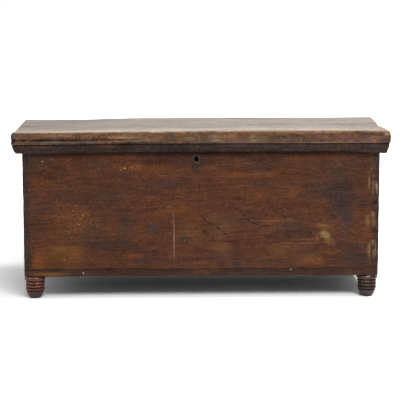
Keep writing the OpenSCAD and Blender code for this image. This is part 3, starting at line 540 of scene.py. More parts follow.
front_marks = marks_on(FRONT_Y, 30, [
    # broad changes of colour: orange, grey, red
    (-420, 250, 100, 80, "#6f4120", 0.35, 1.6),
    (-430, 145, 90, 50, "#74481f", 0.60, 1.4),
    (-150, 412, 200, 14, "#74441d", 0.45, 1.8),
    (-140, 446, 100, 24, "#38221a", 0.50, 1.6),
    (170, 395, 170, 12, "#7a4a22", 0.45, 1.6),
    (-40, 205, 70, 60, "#6f4726", 0.50, 1.6),
    (60, 225, 60, 50, "#69482f", 0.45, 1.6),
    (250, 250, 80, 8, "#7a5027", 0.50, 1.6),
    (265, 150, 80, 46, "#6b4426", 0.35, 1.6),
    (-500, 460, 60, 30, "#42352c", 0.55, 1.4),
    (-330, 432, 55, 26, "#47342a", 0.50, 1.6),
    (-250, 405, 90, 20, "#4c2c22", 0.45, 1.6),
    (-240, 225, 36, 70, "#44342b", 0.55, 1.6),
    (-152, 222, 24, 26, "#3f3530", 0.70, 1.2),
    (-150, 148, 22, 12, "#33262a", 0.60, 1.2),
    (-52, 190, 30, 26, "#3d2f2a", 0.60, 1.2),
    (-70, 120, 130, 22, "#45302a", 0.45, 1.6),
    (110, 150, 24, 60, "#43291f", 0.55, 1.4),
    (110, 112, 30, 20, "#30272c", 0.60, 1.2),
    (-180, 118, 60, 20, "#43302e", 0.55, 1.6),
    (210, 122, 60, 16, "#49342a", 0.50, 1.6),
    (430, 398, 52, 46, "#38302c", 0.55, 1.4),
    (432, 338, 58, 66, "#35292a", 0.65, 1.4),
    (375, 345, 80, 60, "#40332c", 0.55, 1.6),
    (380, 430, 90, 30, "#3f2c22", 0.45, 1.6),
    (-440, 400, 110, 34, "#43281b", 0.50, 1.6),
    (30, 452, 260, 30, "#3e261a", 0.55, 1.4),
    (-320, 235, 50, 60, "#4f3526", 0.40, 1.8),
    (300, 240, 110, 26, "#4c3325", 0.45, 1.8),
    (345, 124, 70, 24, "#8a5930", 0.50, 1.8),
    (60, 164, 50, 26, "#80502c", 0.45, 1.8),
    (-515, 125, 34, 44, "#8a5228", 0.50, 1.6),
    (455, 258, 32, 60, "#343032", 0.65, 1.3),
    (415, 262, 40, 40, "#3d3530", 0.45, 1.6),
    (470, 140, 50, 56, "#3f322f", 0.60, 1.6),
    (446, 197, 17, 8, "#33353d", 0.75, 0.9),
    (330, 205, 26, 16, "#3e2418", 0.60, 1.2),
    # a shake with dirt in it, the bruise below the keyhole, and a painted shadow under the lid
    (285, 398, 66, 3.2, "#2b1b14", 0.80, 1.2),
    (190, 400, 50, 2.4, "#6f5a52", 0.35, 1.2),
    (-18, 421, 16, 25, "#362c27", 0.85, 0.4),
    (0, 438, 34, 26, "#37251c", 0.50, 1.0),
    (-28, 419, 2, 20, "#2b1b14", 0.80, 0.4),
    (0, 494, 1e5, 50, "#1d110c", 0.85, 0.25),
    # the pale chip by the right knot, and bare patches down the right corner
    (386, 207, 17, 19, "#917645", 0.80, 1.8),
    (396, 197, 13, 14, "#9a7a52", 0.60, 2.0),
    (366, 196, 6, 18, "#7c5a34", 0.60, 1.6),
    (408, 180, 26, 14, "#7d5a33", 0.60, 2.4),
    (385, 232, 34, 9, "#8a5f34", 0.60, 2.8),
    (330, 188, 50, 3, "#85582f", 0.60, 1.8),
    (322, 176, 60, 3, "#85582f", 0.55, 1.8),
    (300, 213, 56, 2.6, "#2a1811", 0.70, 1.2),
    (525, 248, 10, 26, "#84603c", 0.70, 2.6),
    (532, 150, 10, 34, "#8f7248", 0.65, 2.8),
    (430, 425, 22, 8, "#7c5334", 0.35, 3.0),
    (480, 430, 90, 60, "#3d2e27", 0.45, 1.8),
    (536, 412, 4, 4, "#cdbba2", 0.80, 0.3),
    # the pins at both corners are as grey as the tails between them, with dark and rubbed bits at the right
    (-556, 297, 28, 1e5, "#382d28", 0.75, 0.5),
    (556, 297, 26, 1e5, "#3d2e28", 0.65, 0.8),
    (520, 112, 40, 26, "#3d2c28", 0.55, 1.4),
    (527, 372, 4, 26, "#96765a", 0.60, 2.6),
    (541, 392, 3, 12, "#8a6a50", 0.60, 2.4),
    # a line of lighter rings, the upright scratch with its hook, and thin lines at the left
    (170, 250, 44, 3.0, "#8a5f40", 0.40, 1.8),
    (-87, 190, 2.2, 96, "#a38673", 0.75, 0.9),
    (-89, 262, 2, 34, "#8a7062", 0.60, 0.9),
    (-99, 294, 12, 3.5, "#7c6a60", 0.60, 0.8),
    (-490, 242, 70, 1.8, "#1d110b", 0.90, 0.4),
    (-556, 331, 3, 15, "#6a5b50", 0.70, 1.4),
    (-538, 331, 2.2, 42, "#6f5f52", 0.70, 1.6)])
# places where the finish has come off in crumbs: the rows have no raggedness
front_specks = marks_on(FRONT_Y, 30, [
    (-405, 250, 105, 84, "#b98a55", 0.65), (-420, 140, 110, 40, "#a06c38", 0.5),
    (-220, 418, 90, 20, "#b07a48", 0.7), (390, 215, 90, 45, "#a87a48", 0.7),
    (500, 240, 70, 130, "#90633c", 0.6), (-30, 205, 60, 50, "#a87848", 0.5),
    (440, 425, 70, 36, "#8a5a3a", 0.6), (-490, 430, 50, 26, "#9a7452", 0.6)])
# single flecks: x, z and size
FLECKS = [
    (-395, 300, 3), (-402, 284, 4), (-372, 268, 4.5), (-378, 258, 3.5), (-385, 240, 4), (-328, 235, 4.5),
    (-340, 238, 3), (-352, 246, 3), (-396, 222, 3), (-452, 318, 3.5), (-496, 440, 6), (-486, 424, 3.5),
    (-468, 446, 3.5), (-417, 425, 3), (-240, 418, 6), (-218, 420, 4.5), (-252, 412, 3.5), (-198, 424, 4),
    (-345, 128, 3), (-433, 128, 3.5), (-54, 186, 2.6), (-38, 214, 4.5), (-46, 208, 3.5), (-84, 236, 3.5),
    (80, 300, 3), (262, 286, 3.5), (246, 296, 2.6), (-100, 212, 4)]
flecks = [(x, z, size * 0.75, size * 0.6, "#bf8a58", 0.80, 2.2) for x, z, size in FLECKS]
front_marks += marks_on(FRONT_Y, 30, flecks)
# two cracks along the grain: the corners of each line
CRACKS = [[(-7, 271), (18, 245), (44, 235), (62, 219), (91, 196)],
          [(100, 291), (123, 284), (139, 258), (155, 245), (183, 235), (221, 232)]]
for path in CRACKS:
    for (x, z), (u, w) in zip(path, path[1:]):
        half, slope = np.hypot(u - x, w - z) * 0.65, np.arctan2(z - w, u - x)
        run = ((x + u) / 2, (z + w) / 2, half, 3.4, "#24130d", 0.85, 0.5, slope)
        front_marks += marks_on(FRONT_Y, 30, [run])
print("front board:", len(front_marks), "marks")

# %% Front and back boards
# planed pine under brown stain and wax: warm and half matt on the outer face, raw and pale inside
front_pine = pine("waxed_pine_front", "X", (235, -96), 7.5, **WAX, marks=front_marks, specks=front_specks,
                  worn="#75502f", knots=[(-51, 189, 11), (12, 214, 9)],
                  swirls=[(270, 285, 130, 62, -34), (285, 172, 95, 40, 26), (45, 262, 90, 46, -22),
                          (-120, 205, 90, 40, 18), (-330, 300, 150, 40, 16), (372, 206, 62, 40, 40)],
                  bare=[(1, 1, FRONT_Y + WALL - 1.4, RAW)])
back_pine = pine("waxed_pine_back", "X", (300, 265), 6.5, **WAX, knots=[(-240, 240, 13), (310, 330, 10)],
                 bare=[(1, -1, CASE[1][1] - WALL + 1.4, RAW)])


def pin_board(name, outer, inner, seed, material, holes):
    """A block with its sockets and holes taken out, edges on the case's own rounding, slopes slid in."""
    roots = [side * at for side in (-1, 1) for at in (INNER_X - 2, INNER_X, INNER_X + 2)]
    xs = planes(CASE[0][0], CASE[1][0], 7, roots + [e for hole in holes for e in hole[:2]])
    slopes = np.concatenate([EDGES, EDGES - 2, EDGES + 2]).tolist()
    zs = planes(CASE[0][2], CASE[1][2], 7, slopes + [e for hole in holes for e in hole[2:]])
    ys = planes(min(outer, inner), max(outer, inner), 9)

    def keep(x, y, z):
        """True where there is wood: in the block, and in no socket or hole."""
        solid = ~((x < -INNER_X) & in_tail(-1, z)) & ~((x > INNER_X) & in_tail(1, z))
        for x0, x1, z0, z1 in holes:
            solid &= ~((x > x0) & (x < x1) & (z > z0) & (z < z1))
        return solid

    points, quads = skin(xs, ys, zs, keep)
    share = np.abs(points[:, 1] - outer) / WALL
    dirt = joint_dirt(points, share < 0.05)
    wear = edge_wear(points, CASE, 5, seed)
    moved = hollow(points, CASE, 0.35, (260, 200, 60), seed)
    moved = soften(moved, CASE, np.clip(1.6 + 0.8 * drift(points, (60, 60, 45), seed), 0.5, 4))
    for side in (-1, 1):
        at_end = np.clip((side * points[:, 0] - INNER_X + 45) / 40, 0, 1)
        moved[:, 2] += slide(points, side, share) * at_end
    moved[:, 1] += np.sign(inner - outer) * 0.6 * dirt
    # the board is hardly rubbed towards its lower edge
    wear *= np.clip((points[:, 2] - CASE[0][2]) / 14, 0.1, 0.7)
    return make(name, moved, quads, "case", "front_back_pine", material, wear=wear, grime=dirt * 0.5)


KEY = BOX["escutcheon"].mean(0)
KEY_Z = BOX["escutcheon"][1][2] - 10
KEYHOLE = (KEY[0] - 6.3, KEY[0] + 6.3, KEY_Z - 12.3, KEY_Z + 6.3)
pin_board("worn_front_board", FRONT_Y, FRONT_Y + WALL, 11, front_pine, [KEYHOLE])
strap = BOX["hinge_strap_right"]
top = CASE[1][2]
notches = [(s * strap[:, 0].mean() - 15, s * strap[:, 0].mean() + 15, top - 3.7, top + 6) for s in (-1, 1)]
pin_board("worn_back_board", CASE[1][1], CASE[1][1] - WALL, 23, back_pine, notches)

# %% [markdown]
# ## Ends: the tail boards
#
# Seen from the front only the ends of the tails show: grey-brown end grain, rubbed pale and dirty by
# turns, and more so at the right. Because the pine rule works in the solid, the same board shows long
# grain on its side and arcs on those ends, as soon as its grain runs front to back.

# %% Marks of the end grain
# bare and dirty blocks of the strips at the front corners: the first number counts from the strip's middle
LEFT_STRIP = [
    (0, 340, 14, 22, "#4a3d36", 0.6, 2.0),
    (0, 170, 14, 40, "#4c3a2e", 0.5, 2.0)]
RIGHT_STRIP = [
    (-2, 368, 7, 22, "#8d6c50", 0.75, 3.4),
    (-8, 362, 3.5, 34, "#9c8063", 0.70, 2.6),
    (4, 352, 3, 26, "#b39a80", 0.70, 2.6),
    (2, 160, 3, 34, "#a39272", 0.70, 2.6),
    (4, 340, 6, 10, "#7a5c44", 0.70, 3.2),
    (-7, 270, 7, 12, "#96704c", 0.75, 3.4),
    (-4, 243, 9, 16, "#85603f", 0.70, 3.4),
    (-6, 182, 7, 24, "#86714e", 0.75, 3.4),
    (-2, 145, 9, 20, "#7d6848", 0.75, 3.4),
    (-5, 418, 7, 22, "#5c4436", 0.60, 3.2),
    (8, 300, 4, 170, "#221916", 0.65, 1.6),
    (0, 305, 20, 13, "#2a1e1a", 0.70, 0.8),
    (0, 217, 20, 8, "#2a1e1a", 0.70, 0.8)]


def end_marks(side, blocks):
    """The tone of the whole strip of end grain at the front, and its blocks."""
    middle = side * (CASE[1][0] - 12)
    rows = [(side * CASE[1][0], 300, 40, 1e5, "#382d28", 0.80, 0.6)]
    return marks_on(FRONT_Y, 9, rows + [(middle + x, *row) for x, *row in blocks])


print("blocks of end grain:", len(LEFT_STRIP), "left,", len(RIGHT_STRIP), "right")

# %% End boards
def tail_board(name, side, seed, material):
    """A block with the sockets of the pins taken out of both ends, on the case's own rounding."""
    xs = planes(*sorted((side * INNER_X, side * CASE[1][0])), 9)
    ys = planes(FRONT_Y, CASE[1][1], 7, [FRONT_Y + WALL, CASE[1][1] - WALL])
    zs = planes(CASE[0][2], CASE[1][2], 7, np.concatenate([ROWS[side].ravel() + d for d in (-2, 0, 2)]))

    def keep(x, y, z):
        """True where there is wood: in a tail, and between the front and back boards."""
        return in_tail(side, z) | ((y > FRONT_Y + WALL) & (y < CASE[1][1] - WALL))

    points, quads = skin(xs, ys, zs, keep)
    depth = np.minimum(points[:, 1] - FRONT_Y, CASE[1][1] - points[:, 1])
    share = np.where(depth <= WALL, depth / WALL, np.clip(1 - (depth - WALL) / 45, 0, 1))
    outer = np.abs(points[:, 0]) > CASE[1][0] - 1
    dirt = joint_dirt(points, depth < 1)
    pin_line = np.clip(1 - np.abs(points[:, 2, None] - ROWS[side].ravel()).min(1) / 2, 0, 1) * (depth <= WALL)
    foot_line = np.clip(1 - np.abs(depth - WALL) / 2, 0, 1) * ~in_tail(side, points[:, 2])
    dirt = np.maximum(dirt, outer * np.maximum(pin_line, foot_line))
    wear = edge_wear(points, CASE, 6, seed)
    moved = hollow(points, CASE, 0.4, (200, 260, 60), seed)
    moved = soften(moved, CASE, np.clip(1.6 + 0.8 * drift(points, (60, 60, 45), 11), 0.5, 4))
    moved[:, 2] += slide(points, side, share)
    moved[:, 1] += 0.35 * (depth < 1) * np.where(points[:, 1] < 0, 1, -1)
    return make(name, moved, quads, "case", "end_pine", material, wear=wear * 0.6, grime=dirt * 0.5)


# planed pine with its end grain to the front: it has drunk more stain, so it is grey-brown and dull there
for side, word, heart, seed, blocks in ((-1, "left", (250, -640), 31, LEFT_STRIP),
                                        (1, "right", (330, 635), 41, RIGHT_STRIP)):
    end_pine = pine("waxed_pine_" + word + "_end", "Y", heart, 6.0, **WAX, knots=[(20, 270, 12)],
                    marks=end_marks(side, blocks), worn="#75583c",
                    bare=[(0, -side, side * (INNER_X + 1.4), RAW)])
    tail_board("worn_" + word + "_end_board", side, seed, end_pine)

# %% [markdown]
# ## Bottom boards
#
# Two boards are nailed up under the walls, and the front edge of the first shows as a thin band below
# the front. It is chipped and rubbed orange at the left, where feet and brooms have met it for years,
# and a line of dirt lies along its top, under the front board. One function makes every plain board: a
# block of cells, sunk faces and a wandering rounding.

# %% Bottom
def plain_board(node, slot, material, radius=1.5, spread=0.9, rim=1.0, seed=1):
    """A block on the node's own box, with planed faces and edges rounded by the radius plus its spread. The
    rim is the share of wear on its upper edges, and where there is less than 1, dirt takes the rest."""
    box = BOX[node]
    points, quads = skin(*[planes(box[0][a], box[1][a], 9) for a in range(3)])
    moved = hollow(points, box, 0.3, (220, 160, 60), seed)
    moved = soften(moved, box, np.clip(radius + spread * drift(points, (45, 45, 30), seed), 0.3, 6))
    wear = edge_wear(points, box, 4, seed) * np.where(points[:, 2] > box[1][2] - 5, rim, 1)
    dirt = (points[:, 2] > box[1][2] - 2.8) * (1 - rim) * 0.6
    return make("worn_" + node, moved, quads, "case", slot, material, wear=wear, grime=dirt)


BAND = BOX["bottom_board_front"]
bottom_marks = marks_on(FRONT_Y, 20, [
    (-478, 81, 80, 7, "#86552b", 0.8, 1.2),
    (-300, 83, 90, 9, "#513020", 0.5, 1.6),
    (-374, 84, 4, 4, "#cdbba4", 0.8, 0.5),
    (118, 88, 14, 9, "#2b2024", 0.6, 1.0),
    (283, 92, 3, 5, "#c8b196", 0.7, 0.5)])
# planed pine, waxed on its edge alone: dull brown, and grey with dust below
bottom_pine = pine("waxed_pine_bottom", "X", (20, -20), 4.8, "#462e24", "#2e1d15", "#382820", "#5e3c22",
                   marks=bottom_marks, worn="#644427",
                   bare=[(2, 1, BAND[1][2] - 1.4, RAW), (2, -1, BAND[0][2] + 1.4, "#423c38")])
plain_board("bottom_board_front", "bottom_pine", bottom_pine, radius=2.2, spread=1.2, rim=0.1, seed=51)
plain_board("bottom_board_rear", "bottom_pine", bottom_pine, rim=0.1, seed=57)

# %% [markdown]
# ## Turned feet
#
# Each foot is one turning: a collar, three rings and a bulb, polished red-brown. The outline runs from
# the middle of the sole up to the tenon, and it is carried round the foot's axis. The quirks between the
# rings are half filled with old wax and dirt, so they are shallower and darker than they were turned.
# Hand turning is never quite round, so the radius breathes a little with the angle, differently on each
# foot. The rings are rubbed on their crests, and the bulbs are darker towards the floor.

# %% Feet
SOLE_TO_TOP = BAND[0][2]
TENON_TOP = BOX["foot_front_left"][1][2]
# width and height of the collar and of the three rings below it
RINGS = [(68, 16.5), (61.5, 9), (61.5, 9), (60.5, 10)]
# height of a quirk, radius at its filled root and at the bulb's top, radius of the arc round the sole, and
# how far the bulb's side leans
QUIRK, CORE, BULB, SOLE_ARC, LEAN = 1.2, 28.9, 28.25, 15, math.radians(20)
BULB_TOP = SOLE_TO_TOP - sum(height for _, height in RINGS) - QUIRK * len(RINGS)


def foot_outline():
    """Radius and height from the sole's middle up: an arc until the bulb leans by its angle, its straight
    side, then rings whose edges are half circles."""
    turn = np.radians(np.linspace(-90, 90, 15))
    bases = SOLE_TO_TOP - np.cumsum([height for _, height in RINGS]) - QUIRK * np.arange(len(RINGS))
    arc_top = SOLE_ARC * (1 - math.sin(LEAN))
    middle = BULB - (BULB_TOP - arc_top) * math.tan(LEAN) - SOLE_ARC * math.cos(LEAN)
    low = np.linspace(-np.pi / 2, -LEAN, 10)
    rise = np.linspace(arc_top, BULB_TOP, 6)[1:]
    parts = [np.array([[middle / 2, 0.0]]),
             np.stack([middle + SOLE_ARC * np.cos(low), SOLE_ARC + SOLE_ARC * np.sin(low)], 1),
             np.stack([BULB - (BULB_TOP - rise) * math.tan(LEAN) - 0.5 * (rise > BULB_TOP - 0.1), rise], 1)]
    for base, (size, height) in reversed(list(zip(bases, RINGS))):
        radius = np.maximum(size / 2 - height / 2 * (1 - np.cos(turn)), CORE)
        parts.append(np.stack([radius, base + height / 2 * (1 + np.sin(turn))], 1))
    parts.append(np.array([[20.0, SOLE_TO_TOP], [12.0, SOLE_TO_TOP], [12.0, TENON_TOP - 0.6],
                           [11.4, TENON_TOP], [6.0, TENON_TOP]]))
    return np.concatenate(parts)


def turned_foot(name, seed, material, around=72):
    """The outline carried round the node's axis: point = axis + radius times (cosine, sine) of the angle."""
    axis = BOX[name].mean(0)[:2]
    outline = foot_outline()
    radius, height = (v[:, None] for v in outline.T)
    angle = np.linspace(0, 2 * np.pi, around, endpoint=False)[None, :]
    rng = np.random.default_rng(seed)
    breath = 1 + 0.006 * np.cos(2 * angle + rng.uniform(0, 6)) + 0.004 * np.cos(3 * angle + height / 20)
    breath = np.where(height > SOLE_TO_TOP - 0.5, 1, breath - 0.006)
    ring = np.stack([axis[0] + radius * breath * np.cos(angle), axis[1] + radius * breath * np.sin(angle),
                     height + 0 * angle], -1)
    points = np.concatenate([ring.reshape(-1, 3), [[*axis, 0.0], [*axis, TENON_TOP]]])
    index = np.arange(len(outline) * around).reshape(len(outline), around)
    beside = np.roll(index, -1, 1)
    quads = np.stack([index[:-1], beside[:-1], beside[1:], index[1:]], -1).reshape(-1, 4)
    sole = np.stack([np.full(around, len(points) - 2), beside[0], index[0]], 1)
    top = np.stack([np.full(around, len(points) - 1), index[-1], beside[-1]], 1)
    out, up = outline.T
    crest = np.concatenate([np.repeat((out - CORE) / 4, around), [0, 0]])
    groove = np.clip(1 - (out - CORE) / 1.4, 0, 1) * (up > BULB_TOP - 0.5) * (up < SOLE_TO_TOP - 12)
    groove = np.concatenate([np.repeat(groove, around), [0, 0]])
    dents = 0.25 * drift(points, (9, 9, 7), seed)[:, None] * (points[:, 2:] < SOLE_TO_TOP - 1)
    dented = points + dents * [1, 1, 0]
    return make("worn_" + name, dented, quads.tolist() + sole.tolist() + top.tolist(), "case", "turned_wood",
                material, sharp=60, nodes=[name], wear=np.clip(crest, 0, 0.5), grime=groove * 0.75)


# turned walnut, polished: a deep red-brown, with a soft shine on the crest of every ring
turned = pine("turned_walnut_polished", "Z", (0, 0), 2.6, "#4d261a", "#24100b", "#38211a", "#643621",
              marks=[((-529, -158, 44), (60, 60, 50), "#8a4b30", 0.60, 1.0),
                     ((529, -158, 36), (60, 60, 70), "#33261c", 0.65, 1.0),
                     ((0, 0, 4), (1e5, 1e5, 24), "#291b10", 0.70, 0.8),
                     ((0, 0, 0), (1e5, 1e5, 7), "#2c211d", 0.6, 0.8)], worn="#8f5c40", shine=0.14, gloss=1.0)
for number, name in enumerate(("foot_front_left", "foot_front_right", "foot_rear_left", "foot_rear_right")):
    turned_foot(name, 61 + number, turned)

# %% [markdown]
# ## The lid
#
# Two thick boards make the lid. Their lower edge has a scratched bead: a round nosing with a groove
# above it, crisp at the left and nearly worn away towards the right. The section is a table of how far
# the edge steps back at each height, and it is carried along the front and both ends by sliding the
# points of a block inwards. Long use has rounded the upper edge. Both ends are worn and shrunk hollow
# where the boards meet, by about twenty millimetres. The top has gone slack at the left, where the rim
# droops too, and at the right the lower edge is tucked in towards the moulding.

# %% Section and slackness of the lid
# heights above the lid's underside, how far the lower edge steps back there, and the groove above the bead
EDGE_H = np.array([0, 0.35, 1.2, 2.5, 5, 7.8, 9.6, 10.8, 12, 13.8, 15.6, 16.8, 18.4])
LOWER = np.array([3.4, 2.0, 0.9, 0.3, 0, 0, 0, 0, 0, 0, 0, 0, 0])
GROOVE = np.array([0, 0, 0, 0, 0, 0.6, 1.8, 3.2, 3.8, 3.9, 3.2, 1.3, 0])
# how deep the two ends are hollowed, for places from front to back
RIGHT_END = ([-219, -190, -149, -88, -29.01, -28.99, 39, 106, 219], [4, 9, 6, 12, 17, 18.5, 11, 7, 1])
LEFT_END = ([-219, -195, -172, -150, -135, -105, -60, -10, 30, 219], [4, 5, 5, 14, 22, 22, 16, 13, 6, 2.5])
THICK = LID[1][2] - LID[0][2]
# heights above which the upper edge is rounded and rubbed, and the ends are hollowed
UPPER, MID_GROOVE = 19, 12


def smooth(value, low, high):
    """0 below low, 1 above high, and 3t^2 - 2t^3 between them."""
    t = np.clip((value - low) / (high - low), 0, 1)
    return t * t * (3 - 2 * t)


def droop(x, y):
    """How far the lid's overhang has sagged at the left: most at its rim, nothing over the case."""
    rim = np.minimum(y - LID[0][1], LID[1][0] - np.abs(x))
    return 2.6 * smooth(-x, 150, 600) * (1 - smooth(rim, 8, 27))


def tuck(x, z):
    """How far the lid's right end draws in towards the moulding's foot."""
    return 2.8 * smooth(x, 572, LID[1][0]) * (1 - smooth(z, 496, 512))


print("lid", round(THICK, 1), "mm thick, groove", GROOVE.max(), "mm deep, ends hollowed by", max(LEFT_END[1]))

# %% Wear, dirt and painted shadow of the lid
def lid_fields(points, front, crisp, from_joint, seed):
    """Wear: rubbing on the upper edges, and on the lip of the bead. Dark: the groove and the bead at the left
    are made darker, a shadow is painted under the edge, and dirt lies along the joint of the two boards."""
    x, y, z = points.T
    height = z - LID[0][2]
    wear = edge_wear(points, LID, 8, seed) * (height > UPPER)
    lip = np.exp(-((height - 4.5) / 3.2) ** 2) * (0.2 + 0.3 * drift(points, (24, 38, 50), seed + 8))
    lip *= height < 8
    sides = (np.abs(x) > LID[1][0] - 0.5) | (front & (y < LID[0][1] + 0.5))
    wear = np.maximum(wear, lip * sides)
    groove = sides * np.clip(np.interp(height, EDGE_H, GROOVE) / 3, 0, 1) * np.clip(crisp, 0.25, 1)
    groove *= np.clip(0.72 + 0.2 * drift(points, (30, 30, 30), seed + 9), 0.3, 1)
    bead = sides * 0.4 * (height < 9) * smooth(-x, 40, 200) * (1 - wear)
    # a painted shadow on the lowest millimetres of the edge, over the moulding, weaker towards the right
    under = sides * np.clip(1.6 - height / 1.6, 0, 1) * (1 - 0.7 * smooth(x, 100, 350))
    joint = np.clip(1 - from_joint / 2.2, 0, 1) * (height > THICK - 1) * 0.6 * smooth(x, -480, 0)
    # all the darkening together: the joint's dirt, the painted shadow under the edge, and the darker groove
    # and bead
    dirt = np.maximum(np.maximum(groove, bead), np.maximum(under, joint))
    return wear, dirt * 0.85


print("wear on the lid fades over 8 mm from its edges")

# %% A lid board
def lid_board(name, y0, y1, seed, material):
    """A block slid in by the edge's section, hollowed at the ends, then rounded by a wandering radius."""
    upper = THICK - np.array([9, 6.5, 4.6, 3.2, 2, 1.1, 0.4, 0])
    zs = LID[0][2] + np.concatenate([EDGE_H, [20, 22.5, 25, 28], upper])
    points, quads = skin(planes(LID[0][0], LID[1][0], 8), planes(y0, y1, 7), zs)
    x, y, z = points.T
    height = z - LID[0][2]
    front = y0 == LID[0][1]
    # the bead is crisp at the left of the front and worn at its right
    fade = smooth(x + 18 * drift(points, (90, 90, 90), seed), -330, -120)
    crisp = np.where(np.abs(x) > LID[1][0] - 1, 0.3, 1 - 0.85 * fade)
    step = np.interp(height, EDGE_H, LOWER) + np.interp(height, EDGE_H, GROOVE) * crisp
    from_joint = np.abs(y - (y1 if front else y0))
    clear = smooth(from_joint, 4, 22)
    radius = 2.4 + 0.9 * drift(points, (70, 60, 60), seed) + 0.8 * drift(points, (22, 22, 22), seed + 1)
    radius = np.where(height > UPPER, np.clip(radius, 1, 6) * clear + 1.3 * (1 - clear), 0.4)
    box = np.array([[LID[0][0], y0, LID[0][2]], [LID[1][0], y1, LID[1][2]]])
    moved = soften(points, box, radius)
    if front:
        moved[:, 1] += step * (y1 - y) / (y1 - y0)
    moved[:, 0] -= x / LID[1][0] * step
    # ends hollowed towards the joint, more and more from the middle of the groove up
    ramp = np.clip((height - MID_GROOVE) / (THICK - MID_GROOVE), 0, 1) ** np.where(x > 0, 1.5, 6)
    deep = np.where(x > 0, np.interp(y, *RIGHT_END), np.interp(y, *LEFT_END))
    moved[:, 0] -= np.sign(x) * deep * ramp * np.clip((np.abs(x) - 350) / 240, 0, 1) ** 2
    # front corners rounded in plan, and the top gone slack in long waves
    if front:
        corner = np.array([[LID[0][0], LID[0][1], -1e4], [LID[1][0], 1e4, 1e4]])
        plan = soften(moved, corner, 9)
        moved[:, :2] = np.where((height > 4)[:, None], plan[:, :2], moved[:, :2])
    slack = 0.12 + 0.12 * drift(points, (420, 90, 200), seed + 5)
    slack += 0.15 * drift(points, (120, 30, 60), seed + 6)
    slack += smooth(-x, 140, 440) * (4.2 + y / 274) + 1.2 * smooth(x, 400, LID[1][0]) * (y < 0)
    sunk = np.clip(slack, 0, 7) * smooth(height, 20, THICK)
    moved[:, 2] -= sunk + droop(x, y) * (1 - smooth(height, 4, 24))
    if front:
        bruise = np.clip(drift(points, (34, 40, 24), seed + 7) - 1.1, 0, 1) * 1.6 * (height > 17.5)
        moved[:, 1] += bruise * np.clip(1 - (y - y0) / 8, 0, 1)
    moved[:, 0] -= tuck(moved[:, 0], moved[:, 2])
    # the dirt here includes the painted shadow under the edge
    wear, dirt = lid_fields(points, front, crisp, from_joint, seed)
    return make(name, moved, quads, "lid", "lid_pine", material, wear=wear, grime=dirt)


print("the lid's boards meet at y =", JOINT_Y)

# %% Marks of the lid, and its boards
LID_Y, TOP = LID[0][1], LID[1][2]
lid_marks = [
    *marks_on(LID_Y, 12, [
        # the front edge: ochre at the left and middle, red-brown at the right
        (-180, 523, 400, 18, "#714619", 0.65, 1.4),
        (-440, 526, 140, 10, "#6c4522", 0.60, 1.6),
        (-460, 515, 110, 9, "#3f2018", 0.75, 1.6),
        (-330, 516, 50, 7, "#4a2418", 0.60, 1.8),
        (120, 527, 110, 9, "#7d5024", 0.60, 1.4),
        (250, 528, 70, 9, "#7c5d28", 0.60, 1.4),
        (-95, 513, 28, 16, "#4f4438", 0.60, 1.6),
        (0, 511, 34, 11, "#301e1a", 0.55, 1.6),
        (50, 516, 46, 10, "#736532", 0.40, 2.0),
        (430, 515, 150, 16, "#552b1c", 0.60, 1.2),
        (520, 525, 50, 8, "#4b3026", 0.60, 1.4),
        # a painted highlight at the right end of the edge
        (576, 526, 12, 8, "#bd9772", 0.85, 1.8)]),
    # painted shade on the rounded left front corner
    ((-588, LID_Y, 513), (17, 22, 34), "#43323a", 0.80, 0.8),
    *marks_on(LID_Y, 12, [
        (340, 516, 170, 16, "#5e3120", 0.50, 1.4),
        (330, 532, 200, 6, "#96704c", 0.60, 2.0),
        (260, 508, 120, 6, "#94734c", 0.60, 3.2),
        # the bead is dull, with worn bits
        (-420, 499, 260, 6.5, "#472f21", 0.80, 0.8),
        (320, 500, 360, 10, "#4a2f24", 0.65, 1.0),
        (-465, 502, 50, 3.4, "#87765e", 0.60, 2.8),
        (-400, 501, 22, 3, "#78735c", 0.50, 2.4),
        (-335, 502, 36, 3, "#8b664e", 0.55, 2.8),
        (330, 500, 260, 2.2, "#946e57", 0.60, 1.4)]),
    # the top: bare and dry, its grey partly its own and partly a painted reflection of the backdrop, with
    # darker streaks towards the back
    ((0, 0, TOP + 6), (1e5, 1e5, 14), "#918070", 0.80, 0.4),
    ((-300, 150, TOP), (240, 26, 8), "#6c6056", 0.40, 2.2),
    ((260, 90, TOP), (300, 20, 8), "#665b52", 0.65, 2.2),
    ((520, 60, TOP), (80, 60, 8), "#665b52", 0.45, 2.0),
    # a paler strip along the front of the top: painted reflection
    ((0, -190, TOP), (1e5, 95, 6.5), "#a8957b", 0.75, 1.6),
    *marks_on(LID_Y, 12, [
        (130, 507, 420, 11, "#482c1e", 0.45, 1.2)]),
    ((0, 219, TOP), (1e5, 22, 14), "#6c645e", 0.40, 0.8),
    *marks_on(LID_Y, 12, [
        # rubbed and stained bits along the middle of the front edge
        (-45, 512, 38, 8, "#84764a", 0.60, 2.4),
        (-160, 508, 60, 7, "#7d7048", 0.50, 2.8),
        (-250, 517, 50, 6, "#a47d4e", 0.50, 2.6),
        (30, 521, 15, 14, "#5c504e", 0.65, 1.2),
        (44, 509, 28, 6, "#95864e", 0.65, 2.4),
        (82, 523, 46, 7, "#a06a3c", 0.50, 2.0),
        (118, 512, 26, 9, "#74301e", 0.60, 2.4),
        (180, 507, 44, 6, "#86703f", 0.50, 2.8),
        (395, 511, 60, 5, "#8c5a40", 0.50, 2.8)]),
    # the rim of the top has a painted highlight at the left and is brown at the right, with a dark streak
    # behind it
    ((-400, LID_Y + 26, TOP - 1), (260, 44, 5.5), "#bda280", 0.60, 1.0),
    ((240, LID_Y, TOP), (430, 15, 8), "#704a2a", 0.75, 1.2),
    ((-60, -60, TOP), (260, 16, 8), "#665c50", 0.55, 2.4),
    # both front corners are darker
    ((-592, LID_Y, 508), (13, 18, 60), "#35282b", 0.80, 0.6),
    ((592, LID_Y, 512), (11, 18, 60), "#38292a", 0.75, 0.8)]
